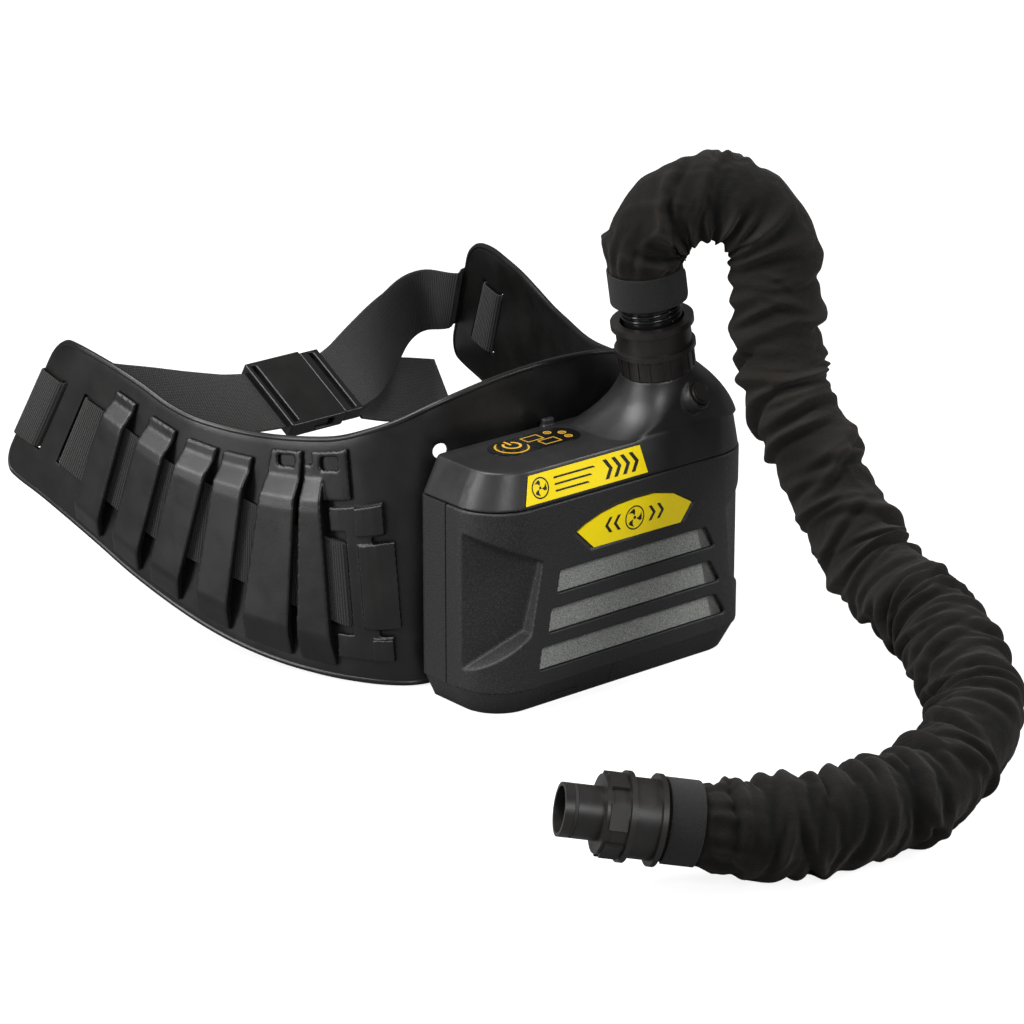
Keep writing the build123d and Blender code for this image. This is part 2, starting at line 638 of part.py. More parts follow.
VENT_STATION, VENT_SHARE, VENT_R = 2.08, 0.83, 5.0


def edge_point(edge, station):
    """Point on an edge table; past the last station it runs on straight."""
    i = max(0, min(len(edge) - 2, int(math.floor(station))))
    part = station - i
    return Vector(*[edge[i][k] * (1 - part) + edge[i + 1][k] * part for k in range(3)])


def plate_frame(station):
    """Lower point, upper point and outward normal of the right wing."""
    before, after = max(station - 0.5, 0), min(station + 0.5, LAST)
    lower, upper = edge_point(LOWER_EDGE, station), edge_point(UPPER_EDGE, station)
    tangent = ((edge_point(LOWER_EDGE, after) + edge_point(UPPER_EDGE, after))
               - (edge_point(LOWER_EDGE, before) + edge_point(UPPER_EDGE, before)))
    if station <= 0:
        tangent = Vector(1, 0, 0)
    normal = (upper - lower).normalized().cross(tangent.normalized()).normalized()
    if normal.dot(Vector(lower.X, lower.Y - LOOP_Y, 0)) < 0:
        normal = normal * -1
    return lower, upper, normal


def outward(station, side):
    normal = plate_frame(station)[2]
    return Vector(side * normal.X, normal.Y, normal.Z)


def on_belt(station, share, distance, side=1):
    """Point at a share of the plate's height and a distance outward; side -1 is left."""
    lower, upper, normal = plate_frame(abs(station))
    point = lower + (upper - lower) * share + normal * distance
    return Vector(side * point.X, point.Y, point.Z)


def belt_strip(stations, share0, share1, dist0, dist1, side=1):
    """Solid that follows the plate, between two shares of height and two distances."""
    sections = []
    for station in stations:
        wing = side if station >= 0 else -side
        sections.append([on_belt(station, share0, dist0, wing),
                         on_belt(station, share1, dist0, wing),
                         on_belt(station, share1, dist1, wing),
                         on_belt(station, share0, dist1, wing)])
    return ruled_loft(sections)


def slot_cutter(station, side):
    normal = outward(station, side)
    upward = on_belt(station, SLOT_HIGH, 0, side) - on_belt(station, SLOT_LOW, 0, side)
    along = (on_belt(station + SLOT_HALF, 0.5, 0, side)
             - on_belt(station - SLOT_HALF, 0.5, 0, side))
    plane = Plane(origin=on_belt(station, 0.5, 0, side) - normal * 10,
                  z_dir=normal, x_dir=upward.normalized())
    return extrude(plane * Rectangle(upward.length, along.length), amount=20)


def hip_plate():
    plate = belt_strip(range(-LAST, LAST + 1), 0.0, 1.0, -PLATE_T, 0.0)
    for side in (-1, 1):
        for station in SLOTS:
            plate -= slot_cutter(station, side)
        normal = outward(VENT_STATION, side)
        centre = on_belt(VENT_STATION, VENT_SHARE, 0, side)
        plate -= rod(centre - normal * 8, normal, VENT_R, 16)
    return drill_clip_holes(plate, 2.3, 0, 20)


def belt_clip():
    """Rectangular frame between the blower's back and the hip plate."""
    clip = drill_clip_holes(box(-56, 56, FIT, 3.9, 40, 124), 2.3, -2, 20)
    return clip - box(-30, 30, -1, 10, 60, 104)


def belt_clip_screws():
    """Shanks, with their heads on the wearer's side."""
    return [y_rod(x, z, 1.7, -2.8, 14.0) + y_rod(x, z, 4.2, 13.0, 15.2) for x, z in CLIP_HOLES]


# Hip plate with a gap all round, cut from the pieces that sit on it.
PLATE_GUARD = belt_strip(range(-LAST, LAST + 1), -0.02, 1.02, -PLATE_T - FIT, FIT)

# ---------------------------------------------------------------- belt bars and anchors
# Stations (top, bottom) of a bar's first and second side.
BARS = [((11.95, 11.95), (12.80, 12.72)), ((10.42, 10.75), (11.40, 11.50)),
        ((9.02, 9.65), (10.02, 10.40)), ((7.78, 8.32), (8.80, 9.15)),
        ((6.25, 6.72), (7.22, 7.90)), ((5.55, 5.52), (6.15, 6.48))]
TALL_BAR, TABBED_BAR = 4, 5        # places in BARS
BAR_LOW, BAR_HIGH = 0.045, 0.900   # ends of a bar, as shares of the plate's height
# Arched profile of a bar: share of height, distance outward.
BAR_TOP = [(BAR_HIGH, 0.3), (BAR_HIGH, 3.2)]
TALL_TOP = [(0.955, 0.3), (0.955, 3.0)]
BAR_BODY = [(0.840, 3.4), (0.755, 9.2), (0.700, 9.8), (0.180, 9.8), (0.150, 9.0),
            (BAR_LOW, 3.0), (BAR_LOW, 0.3), (0.095, 0.3), (0.185, 5.0), (0.745, 5.0),
            (0.835, 0.3)]


def bar_solid(sides, profile, side):
    """The bar follows a straight leaning line; its end faces stand square to the plate."""
    sections = []
    for top, bottom in sides:
        foot = on_belt(bottom, BAR_LOW, 0, side)
        upward = on_belt(top, BAR_HIGH, 0, side) - foot
        normal = outward((top + bottom) / 2, side)
        normal = (normal - upward * (normal.dot(upward) / upward.dot(upward))).normalized()
        # lift that keeps the straight bar off the curved plate
        lift = 0.0
        for share in (0.2, 0.35, 0.5, 0.65, 0.8):
            part = (share - BAR_LOW) / (BAR_HIGH - BAR_LOW)
            bulge = on_belt(bottom + (top - bottom) * part, share, 0, side)
            lift = max(lift, (bulge - (foot + upward * part)).dot(normal))
        sections.append([foot + upward * ((share - BAR_LOW) / (BAR_HIGH - BAR_LOW))
                         + normal * (distance + (lift if distance > 1 else 0))
                         for share, distance in profile])
    return ruled_loft(sections)


def belt_bars(side):
    bars = []
    for i, sides in enumerate(BARS):
        top = TALL_TOP if i == TALL_BAR else BAR_TOP
        bar = bar_solid(sides, top + BAR_BODY, side)
        if i == TALL_BAR:          # slot in its top
            bar -= belt_strip([6.45, 6.7, 6.95], 0.885, 0.930, -1, 8, side)
        if i == TABBED_BAR:        # broad tab towards the blower, with a slot
            bar += belt_strip([4.65, 4.95, 5.3, 5.6, 5.92], 0.745, 0.955, 0.3, 3.3, side)
            bar -= belt_strip([5.0, 5.3, 5.62], 0.875, 0.930, -1, 8, side)
        bars.append(bar - PLATE_GUARD)
    return bars


def strap_anchor(side):
    """Frame beside the blower: stepped body, one opening, two thin slits and two hooks."""
    body = belt_strip([3.62, 3.9, 4.2, 4.5, 4.8, 5.1, 5.42], 0.09, 0.72, 0.25, 3.8, side)
    body += belt_strip([3.36, 3.6, 3.9, 4.2, 4.5], 0.22, 0.56, 0.25, 5.0, side)
    body -= belt_strip([4.9, 5.1, 5.3, 5.6], 0.19, 0.62, -3, 9, side)
    for share0, share1 in ((0.565, 0.59), (0.19, 0.215)):
        body -= belt_strip([3.3, 3.6, 3.9, 4.05], share0, share1, -1, 9, side)
    body += belt_strip([3.62, 3.9, 4.25, 4.5], 0.60, 0.715, 3.0, 7.0, side)
    body += belt_strip([3.62, 3.9, 4.25], 0.095, 0.18, 3.0, 7.0, side)
    return body - PLATE_GUARD


# ---------------------------------------------------------------- webbing
# Webbing on a wing: station, distance outward. It runs from the anchor under the bars,
# in through one slot, out through the other and round the tip.
WING_WEBBING = [(station, 1.9) for station in (4.98, 5.2, 5.5, 6, 7, 8, 9, 10, 11, 12, 13, 13.55)]
WING_WEBBING += [(13.74, 1.0), (13.80, -1.5), (13.86, -4.2), (14.05, -5.4),
                 (14.55, -5.4), (14.74, -4.2), (14.80, -1.5), (14.86, 1.0), (15.05, 2.0),
                 (15.6, 2.0), (15.98, 2.0), (16.10, 0.6), (16.13, -1.5)]
TIP_WEBBING = [(16.13, -2.0), (16.10, -5.0), (15.98, -10.0)]

# Front straps from the tips to the buckle, and the loose tail: centre point,
# direction across the strap (towards its upper edge).
LEFT_STRAP = [((-150.0, 322.0, 121.0), (0.12, -0.10, 0.98)),
              ((-108.0, 312.0, 112.0), (0.10, 0.40, 0.90)),
              ((-66.0, 297.0, 106.5), (0.08, 0.72, 0.68)),
              ((-38.0, 286.5, 104.0), (0.05, 0.84, 0.53)),
              ((-21.0, 281.2, 103.4), (0.0, 0.87, 0.49))]
RIGHT_STRAP = [((166.0, 349.0, 120.0), (-0.20, -0.20, 0.96)),
               ((132.0, 338.0, 109.0), (-0.12, 0.15, 0.98)),
               ((92.0, 312.0, 104.5), (-0.05, 0.55, 0.83)),
               ((60.0, 291.0, 103.5), (0.0, 0.80, 0.58)),
               ((43.5, 283.0, 103.0), (0.0, 0.87, 0.49))]
TAIL = [((46.0, 283.0, 95.0), (0.0, 0.87, 0.49)), ((80.0, 298.0, 84.0), (0.0, 0.80, 0.60)),
        ((120.0, 318.0, 72.0), (0.0, 0.70, 0.71)), ((155.0, 331.0, 60.0), (0.0, 0.60, 0.80)),
        ((185.0, 339.0, 50.0), (0.0, 0.55, 0.83))]


def ribbon(points):
    """Webbing through (centre, half width vector); its thickness is square to the run."""
    sections = []
    for i, (centre, half) in enumerate(points):
        before = points[max(0, i - 1)][0]
        after = points[min(len(points) - 1, i + 1)][0]
        thick = half.cross((after - before).normalized()).normalized() * (WEB_T / 2)
        sections.append([centre - half - thick, centre + half - thick,
                         centre + half + thick, centre - half + thick])
    return ruled_loft(sections)


def wing_points(rows, side):
    points = []
    for station, distance in rows:
        share = 0.40 + 0.10 * max(0.0, min(1.0, (station - 5.0) / 3.0))
        across = (on_belt(station, share + 0.1, distance, side)
                  - on_belt(station, share - 0.1, distance, side))
        points.append((on_belt(station, share, distance, side),
                       across.normalized() * (WEB_W / 2)))
    return points


def strap_points(rows):
    return [(Vector(centre), Vector(across).normalized() * (WEB_W / 2))
            for centre, across in rows]


def wing_webbing(side):
    return ribbon(wing_points(WING_WEBBING, side))


def left_front_strap():
    return ribbon(wing_points(TIP_WEBBING, -1) + strap_points(LEFT_STRAP))


def right_front_strap():
    return ribbon(wing_points(TIP_WEBBING, 1) + strap_points(RIGHT_STRAP))


def webbing_tail():
    return ribbon(strap_points(TAIL))


# ---------------------------------------------------------------- buckle
# Side-release buckle in its own frame: x along the strap, y across it, z outward.
BUCKLE_PLANE = Plane(origin=(4.0, 281.0, 103.0), x_dir=(1, 0, 0), z_dir=(0, -0.49, 0.87))
BUCKLE_HALF = WEB_W / 2 + 4
SLOT_Y = WEB_W / 2 + 1             # half length of the webbing slots


def buckle_box(x0, x1, y0, y1, half_z):
    return BUCKLE_PLANE * box(x0, x1, y0, y1, -half_z, half_z)


def buckle_socket():
    socket = buckle_box(-24, 22, -BUCKLE_HALF, BUCKLE_HALF, 6.2)
    socket -= buckle_box(-13, 23, -25.5, 25.5, 3.4)
    socket -= buckle_box(-3, 13, 20, BUCKLE_HALF + 1, 3.4)
    socket -= buckle_box(-3, 13, -BUCKLE_HALF - 1, -20, 3.4)
    socket -= buckle_box(-20.5, -16.5, -SLOT_Y, SLOT_Y, 8)
    return socket


def buckle_plug():
    plug = buckle_box(22.6, 38, -BUCKLE_HALF + 1, BUCKLE_HALF - 1, 5.0)
    plug += buckle_box(-6, 23, -6, 6, 2.6)
    plug -= buckle_box(29, 33, -SLOT_Y, SLOT_Y, 8)
    return plug


def buckle_arms():
    """Two arms, each with a catch that fills the socket's side opening."""
    arms = []
    for side in (-1, 1):
        arm = buckle_box(0, 22.4, *sorted((side * 17.5, side * 21.5)), 2.6)
        arm += buckle_box(-1.5, 9.5, *sorted((side * 21.0, side * (BUCKLE_HALF - 2.0))), 2.6)
        arms.append(arm)
    return arms


# ---------------------------------------------------------------- build and save
for build in (rear_housing, upper_housing, filter_cover, cover_badge, spark_screen,
              prefilter_pad, filter_frame, filter_media, filter_seal, filter_seat_plate,
              fan_scroll, motor_can, motor_shaft, impeller, battery_pack, battery_latch,
              circuit_board, board_components, dome_switch, control_panel, level_windows,
              status_lights, power_button, stripe_label, hose_release_button,
              release_spring, outlet_seal, hose_collar, upper_cuff_band, lower_cuff_band,
              helmet_collar, helmet_spigot, spigot_seal, hip_plate, belt_clip,
              belt_clip_screws, left_front_strap, right_front_strap, webbing_tail,
              buckle_socket, buckle_plug, buckle_arms):
    save(build(), build.__name__)

for number, (sleeve, hose) in enumerate(zip(sleeves(), inner_hoses()), start=1):
    save(sleeve, f"sleeve_{number}")
    save(hose, f"inner_hose_{number}")

for side, wing in ((-1, "left"), (1, "right")):
    save(belt_bars(side), f"{wing}_belt_bars")
    save(wing_webbing(side), f"{wing}_webbing")
    save(strap_anchor(side), f"{wing}_strap_anchor")
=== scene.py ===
import bpy, bmesh, json, math
import numpy as np
from mathutils import Vector, Matrix


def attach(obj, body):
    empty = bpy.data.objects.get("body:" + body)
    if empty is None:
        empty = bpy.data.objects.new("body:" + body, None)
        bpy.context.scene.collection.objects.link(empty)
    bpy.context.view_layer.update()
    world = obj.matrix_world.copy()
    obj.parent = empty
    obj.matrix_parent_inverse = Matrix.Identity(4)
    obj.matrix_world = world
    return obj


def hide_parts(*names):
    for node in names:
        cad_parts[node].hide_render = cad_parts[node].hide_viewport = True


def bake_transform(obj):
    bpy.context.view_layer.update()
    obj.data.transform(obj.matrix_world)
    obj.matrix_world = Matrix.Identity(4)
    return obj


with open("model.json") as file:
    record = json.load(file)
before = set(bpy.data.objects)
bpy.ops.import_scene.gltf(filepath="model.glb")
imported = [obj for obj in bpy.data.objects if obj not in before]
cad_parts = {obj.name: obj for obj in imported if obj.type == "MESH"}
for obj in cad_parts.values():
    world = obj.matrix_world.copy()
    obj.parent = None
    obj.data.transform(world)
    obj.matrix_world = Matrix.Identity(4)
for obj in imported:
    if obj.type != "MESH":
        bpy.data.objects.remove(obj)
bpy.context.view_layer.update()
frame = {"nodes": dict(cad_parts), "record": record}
N = frame["nodes"]
BASE = "blower_and_belt"
rng = np.random.default_rng(7)

# ------------------------------------------------------------------ small tools


def new_obj(name, verts, faces, uvs=None, smooth=True):
    """Mesh object from metres; uvs is one pair per vertex."""
    me = bpy.data.meshes.new(name)
    me.from_pydata([tuple(map(float, v)) for v in verts], [], [tuple(int(i) for i in f) for f in faces])
    me.update()
    if uvs is not None:
        lay = me.uv_layers.new(name="UVMap")
        uvs = np.asarray(uvs, float)
        idx = np.zeros(len(me.loops), np.int32)
        me.loops.foreach_get("vertex_index", idx)
        lay.data.foreach_set("uv", uvs[idx].astype(np.float32).ravel())
    if smooth:
        me.polygons.foreach_set("use_smooth", [True] * len(me.polygons))
    o = bpy.data.objects.new(name, me)
    bpy.context.scene.collection.objects.link(o)
    return o


def apply_mods(o):
    dg = bpy.context.evaluated_depsgraph_get()
    me = bpy.data.meshes.new_from_object(o.evaluated_get(dg), preserve_all_data_layers=True, depsgraph=dg)
    o.modifiers.clear()
    old = o.data
    o.data = me
    me.name = o.name
    bpy.data.meshes.remove(old)
    return o


def bevel(o, width, segments=2, angle=30.0):
    m = o.modifiers.new("bevel", "BEVEL")
    m.width = width
    m.segments = segments
    m.limit_method = "ANGLE"
    m.angle_limit = math.radians(angle)
    m.use_clamp_overlap = True
    m.harden_normals = False
    return m


def smooth_by_angle(o, deg=40.0):
    me = o.data
    me.polygons.foreach_set("use_smooth", [True] * len(me.polygons))
    me.set_sharp_from_angle(angle=math.radians(deg))


# ------------------------------------------------------------------ materials
class Mat:
    """Principled material with helpers for procedural detail. Coordinates are metres in the row frame, or UVs in metres."""

    def __init__(self, name, color, rough, metal=0.0, spec=0.5):
        m = bpy.data.materials.new(name)
        m.use_nodes = True
        self.m, self.t = m, m.node_tree
        self.b = self.t.nodes["Principled BSDF"]
        self.set("Base Color", (*color, 1.0))
        self.set("Roughness", rough)
        self.set("Metallic", metal)
        self.set("Specular IOR Level", spec)
        self.color, self.rough = color, rough
        m.diffuse_color = (*color, 1.0)
        self.coord = self.node("ShaderNodeTexCoord")
        self.height = None

    def node(self, kind, **k):
        n = self.t.nodes.new(kind)
        for a, v in k.items():
            setattr(n, a, v)
        return n

    def set(self, key, v):
        if key in self.b.inputs:
            self.b.inputs[key].default_value = v

    def link(self, a, b):
        self.t.links.new(a, b)

    def noise(self, scale, detail=3.0, rough=0.5, space="Object", stretch=None):
        n = self.node("ShaderNodeTexNoise")
        n.inputs["Scale"].default_value = scale
        n.inputs["Detail"].default_value = detail
        n.inputs["Roughness"].default_value = rough
        src = self.coord.outputs[space]
        if stretch:
            mp = self.node("ShaderNodeMapping")
            mp.inputs["Scale"].default_value = stretch
            self.link(src, mp.inputs["Vector"])
            src = mp.outputs["Vector"]
        self.link(src, n.inputs["Vector"])
        return n.outputs["Fac"]

    def wave(self, scale, axis="X", space="UV", distortion=0.0, profile="SIN", rot=0.0):
        n = self.node("ShaderNodeTexWave")
        n.wave_type, n.bands_direction, n.wave_profile = "BANDS", axis, profile
        n.inputs["Scale"].default_value = scale
        n.inputs["Distortion"].default_value = distortion
        n.inputs["Detail Scale"].default_value = 2.0
        src = self.coord.outputs[space]
        if rot:
            mp = self.node("ShaderNodeMapping")
            mp.inputs["Rotation"].default_value = (0, 0, rot)
            self.link(src, mp.inputs["Vector"])
            src = mp.outputs["Vector"]
        self.link(src, n.inputs["Vector"])
        return n.outputs["Fac"]

    def math(self, op, a, b=0.0, clamp=False):
        n = self.node("ShaderNodeMath", operation=op, use_clamp=clamp)
        for i, v in enumerate((a, b)):
            if isinstance(v, (int, float)):
                n.inputs[i].default_value = v
            else:
                self.link(v, n.inputs[i])
        return n.outputs[0]

    def ramp(self, fac, lo, hi, a, b):
        n = self.node("ShaderNodeMapRange")
        n.inputs["From Min"].default_value = lo
        n.inputs["From Max"].default_value = hi
        n.inputs["To Min"].default_value = a
        n.inputs["To Max"].default_value = b
        self.link(fac, n.inputs["Value"])
        return n.outputs[0]

    def vary(self, fac, dark, light):
        """Base colour mixes between two colours by fac."""
        n = self.node("ShaderNodeMix", data_type="RGBA")
        self.link(fac, n.inputs[0])
        n.inputs[6].default_value = (*dark, 1)
        n.inputs[7].default_value = (*light, 1)
        self.link(n.outputs[2], self.b.inputs["Base Color"])
        return n

    def rough_by(self, fac, a, b):
        self.link(self.ramp(fac, 0.3, 0.7, a, b), self.b.inputs["Roughness"])

    def bump(self, fac, dist, strength=1.0):
        n = self.node("ShaderNodeBump")
        n.inputs["Distance"].default_value = dist
        n.inputs["Strength"].default_value = strength
        self.link(fac, n.inputs["Height"])
        if self.height is not None:
            self.link(self.height, n.inputs["Normal"])
        self.height = n.outputs["Normal"]
        self.link(self.height, self.b.inputs["Normal"])

    def edges(self, radius=0.0006, samples=4):
        n = self.node("ShaderNodeBevel", samples=samples)
        n.inputs["Radius"].default_value = radius
        if self.height is None:
            self.height = n.outputs["Normal"]
            self.link(self.height, self.b.inputs["Normal"])

    def sheen(self, w, rough=0.5, tint=(1, 1, 1)):
        self.set("Sheen Weight", w)
        self.set("Sheen Roughness", rough)
        self.set("Sheen Tint", (*tint, 1))


def plastic(name, color, rough, grain=1500, gdist=0.00006, mottling=0.25, edge=0.0):
    m = Mat(name, color, rough)
    if edge:
        m.edges(edge)
    c = np.array(color)
    m.vary(m.ramp(m.noise(35, 4), 0.35, 0.65, 0, 1), tuple(c * (1 - mottling)), tuple(np.minimum(c * (1 + mottling), 1)))
    m.rough_by(m.noise(60, 5), max(rough - 0.06, 0.03), min(rough + 0.08, 1))
    m.bump(m.noise(grain, 2, 0.6), gdist, 0.6)
    return m


M = {}
# textured cover: dark grey with a fine sparkle grain
c = Mat("cover_texture", (0.012, 0.012, 0.0125), 0.50)
c.edges(0.0006)
c.vary(c.ramp(c.noise(1500, 2, 0.7), 0.50, 0.75, 0, 1), (0.0085, 0.0085, 0.009), (0.055, 0.055, 0.057))
c.rough_by(c.noise(900, 2), 0.40, 0.60)
c.bump(c.noise(1150, 2, 0.7), 0.00022, 0.75)
M["cover_texture"] = c
c = plastic("shell_satin", (0.0135, 0.0132, 0.0135), 0.40, 1700, 0.00008, 0.2)
M["shell_satin"] = c
M["belt_plastic"] = plastic("belt_plastic", (0.0062, 0.0058, 0.0056), 0.34, 900, 0.00009, 0.3)
M["connector_plastic"] = plastic("connector_plastic", (0.0125, 0.0108, 0.0102), 0.38, 1200, 0.00006, 0.25)
M["panel_gloss"] = plastic("panel_gloss", (0.006, 0.006, 0.006), 0.16, 2500, 0.00001, 0.1)
M["badge_yellow"] = plastic("badge_yellow", (1.0, 0.52, 0.0), 0.30, 2200, 0.00001, 0.04)
M["label_yellow"] = plastic("label_yellow", (1.0, 0.76, 0.0), 0.30, 2200, 0.00001, 0.03)
M["print_black"] = plastic("print_black", (0.008, 0.008, 0.008), 0.32, 2200, 0.00001, 0.1)
M["print_gold"] = plastic("print_gold", (0.62, 0.36, 0.03), 0.35, 2200, 0.00001, 0.1)
c = Mat("screen_grey", (0.12, 0.125, 0.118), 0.6)
c.vary(c.ramp(c.noise(1300, 3, 0.7), 0.36, 0.66, 0, 1), (0.085, 0.088, 0.083), (0.30, 0.31, 0.29))
c.bump(c.noise(1200, 3, 0.7), 0.0004, 0.8)
M["screen_grey"] = c
M["hose_gloss"] = plastic("hose_gloss", (0.008, 0.008, 0.008), 0.14, 2000, 0.00001, 0.1)
M["rubber_black"] = plastic("rubber_black", (0.012, 0.012, 0.012), 0.62, 1500, 0.00004, 0.2)
M["fan_plastic"] = plastic("fan_plastic", (0.05, 0.05, 0.055), 0.45, 1500, 0.00004, 0.2)
M["board_green"] = plastic("board_green", (0.01, 0.12, 0.05), 0.4, 900, 0.00003, 0.3)
M["lamp_amber"] = plastic("lamp_amber", (0.35, 0.18, 0.02), 0.2, 2500, 0.00001, 0.1)
M["filter_white"] = plastic("filter_white", (0.75, 0.75, 0.72), 0.85, 2500, 0.0001, 0.05)
M["prefilter_grey"] = plastic("prefilter_grey", (0.42, 0.43, 0.42), 0.95, 1800, 0.0004, 0.15)
c = Mat("steel", (0.55, 0.55, 0.56), 0.3, 1.0)
c.bump(c.noise(700, 3, 0.6, stretch=(1, 12, 1)), 0.00004, 0.5)
c.rough_by(c.noise(300, 3), 0.22, 0.4)
M["steel"] = c
c = Mat("motor_metal", (0.62, 0.63, 0.65), 0.35, 1.0)
c.bump(c.noise(900, 3, 0.6), 0.00003, 0.5)
c.rough_by(c.noise(300, 3), 0.25, 0.45)
M["motor_metal"] = c


def cloth_mat(name, dark, light, period, dist, rough=0.92, sheen=0.35, tint=(1, 0.95, 0.9)):
    """Plain weave from two crossing sets of threads, in UV metres."""
    m = Mat(name, dark, rough)
    k = 2 * math.pi / period / 20.0 * 1.0
    warp = m.wave(k * 1.0, "X", distortion=0.6)
    weft = m.wave(k * 1.0, "Y", distortion=0.6)
    chk = m.math("MULTIPLY", warp, weft)
    fuzz = m.noise(3000, 2, 0.7)
    big = m.noise(22, 4, 0.6)
    fac = m.math("ADD", m.math("MULTIPLY", chk, 0.55), m.math("MULTIPLY", big, 0.55), clamp=True)
    m.vary(m.ramp(fac, 0.15, 0.9, 0, 1), dark, light)
    m.bump(chk, dist, 0.8)
    m.bump(fuzz, dist * 0.7, 0.5)
    m.sheen(sheen, 0.45, tint)
    m.set("Specular IOR Level", 0.25)
    return m


M["sleeve_fabric"] = cloth_mat("sleeve_fabric", (0.0042, 0.0034, 0.0028), (0.0105, 0.0085, 0.0071), 0.0011, 0.00022, sheen=0.055)
# painted shade in the creases and painted highlight on the crests: the base colour is scaled by the fold height kept on
# the mesh
c = M["sleeve_fabric"]
at_ = c.node("ShaderNodeAttribute", attribute_name="fold")
painted_fold_shading = c.ramp(at_.outputs["Fac"], -0.0030, 0.0044, 0.12, 1.75)
vm_ = c.node("ShaderNodeVectorMath", operation="SCALE")
src_ = c.b.inputs["Base Color"].links[0].from_socket
c.link(src_, vm_.inputs[0])
c.link(painted_fold_shading, vm_.inputs["Scale"])
c.link(vm_.outputs[0], c.b.inputs["Base Color"])
wr = c.noise(150, 3, 0.55, stretch=(1.0, 1.0, 1.6))
c.bump(wr, 0.0016, 0.55)
M["band_fabric"] = cloth_mat("band_fabric", (0.0040, 0.0037, 0.0035), (0.0095, 0.0090, 0.0086), 0.0014, 0.0003, sheen=0.05)
# hook-and-loop face: short fuzzy hooks
c = Mat("hook_fabric", (0.012, 0.012, 0.012), 0.95)
c.vary(c.ramp(c.noise(1600, 2, 0.8), 0.4, 0.7, 0, 1), (0.003, 0.003, 0.003), (0.017, 0.0165, 0.016))
c.bump(c.noise(1500, 2, 0.8), 0.0008, 0.9)
c.sheen(0.06, 0.5)
M["hook_fabric"] = c
# webbing: cross ribs every 1.3 mm with fine twill on them
c = Mat("webbing_fabric", (0.011, 0.011, 0.011), 0.85)
rib = c.wave(2 * math.pi / 0.0017 / 20.0, "Y", distortion=0.35)
twl = c.wave(2 * math.pi / 0.0012 / 20.0, "X", distortion=0.5)
c.vary(c.ramp(c.math("ADD", c.math("MULTIPLY", rib, 0.6), c.math("MULTIPLY", twl, 0.4)), 0.3, 0.95, 0, 1), (0.0035, 0.0035, 0.0035), (0.022, 0.021, 0.020))
c.bump(rib, 0.00055, 0.9)
c.bump(twl, 0.00025, 0.8)
c.bump(c.noise(2500, 2, 0.7), 0.00025, 0.5)
c.sheen(0.08, 0.5)
M["webbing_fabric"] = c


def give(o, key):
    o.data.materials.clear()
    o.data.materials.append(M[key].m)


slot_of = {s["node"]: s["material_slot"] for s in frame["record"]["subparts"]}
for name, o in N.items():
    key = slot_of[name]
    o.data.materials.clear()
    o.data.materials.append(M["label_yellow" if name in ("stripe_label", "cover_badge") else key].m)

# rounded edges on the hard CAD pieces
for name, w in (("rear_housing", 0.0008), ("battery_pack", 0.0008), 
                
                ("buckle_arms", 0.0008), ("hose_collar", 0.0004), ("helmet_collar", 0.0005), ("helmet_spigot", 0.0004),
                ("hose_release_button", 0.0008), ("power_button", 0.0003), ("control_panel", 0.00025), ("cover_badge", 0.0002),
                ("battery_latch", 0.0005), ("belt_clip", 0.0006), ("impeller", 0.0002), ("spigot_seal", 0.0003), ("spark_screen", 0.0003),
                ("belt_clip_screws", 0.0004), ("stripe_label", 0.0001), ("fan_scroll", 0.0003), ("filter_frame", 0.0003)):
    if name in N:
        bevel(N[name], w, 2, 35)

# ------------------------------------------------------------------ belt surface
LOW = np.array([(0, 5, 8), (40, 5, 6), (80, 7, 4), (103, 14, 2.5), (118, 26, 2.5), (130, 42, 3), (141, 62, 4), (152, 90, 6),
                (161, 120, 10), (169, 150, 17), (176, 182, 27), (181, 215, 38), (185, 245, 50), (188.5, 275, 61),
                (191, 303, 70), (193, 325, 76), (194, 340, 82)], float) / 1000
UP = np.array([(0, 6, 195), (40, 8.5, 192), (80, 16, 183), (104, 31, 171), (117, 47, 163), (125, 65, 156), (132, 84, 152),
               (140, 107, 149), (146, 130, 147), (152, 150, 147), (159, 172, 149), (163.5, 194, 153.5), (167, 216, 161),
               (170.5, 236, 167), (173.5, 256, 171.5), (176, 276, 175), (175.5, 296, 175.5)], float) / 1000


def mirror_pts(A):
    B = A[1:][::-1].copy()
    B[:, 0] *= -1
    return np.vstack([B, A])


LOWM, UPM = mirror_pts(LOW), mirror_pts(UP)      # index 0..32, station s = index - 16


def crom(A, s):
    """Catmull-Rom through A at station s (-16..16), extended straight past the ends."""
    x = s + 16
    i = int(np.clip(math.floor(x), 0, len(A) - 2))
    f = x - i
    p1, p2 = A[i], A[i + 1]
    p0 = A[i - 1] if i > 0 else 2 * p1 - p2
    p3 = A[i + 2] if i + 2 < len(A) else 2 * p2 - p1
    if x < 0 or x > len(A) - 1:
        return p1 + (p2 - p1) * f
    return 0.5 * ((2 * p1) + (-p0 + p2) * f + (2 * p0 - 5 * p1 + 4 * p2 - p3) * f * f + (-p0 + 3 * p1 - 3 * p2 + p3) * f ** 3)


def lin(A, s):
    x = s + 16
    i = int(np.clip(math.floor(x), 0, len(A) - 2))
    return A[i] + (A[i + 1] - A[i]) * (x - i)


def st(s):
    b, u = crom(LOWM, s), crom(UPM, s)
    lo, hi = max(s - 0.3, -16), min(s + 0.3, 16)
    t = (crom(LOWM, hi) + crom(UPM, hi)) - (crom(LOWM, lo) + crom(UPM, lo))
    t /= np.linalg.norm(t)
    w = (u - b) / np.linalg.norm(u - b)
    n = np.cross(w, t)
    n /= np.linalg.norm(n)
    if n @ (b - np.array([0, 0.15, b[2]])) < 0:
        n = -n
    return b, u, n, t


def on_belt(s, v, d):
    b, u, n, t = st(s)
    return b + (u - b) * v + n * d


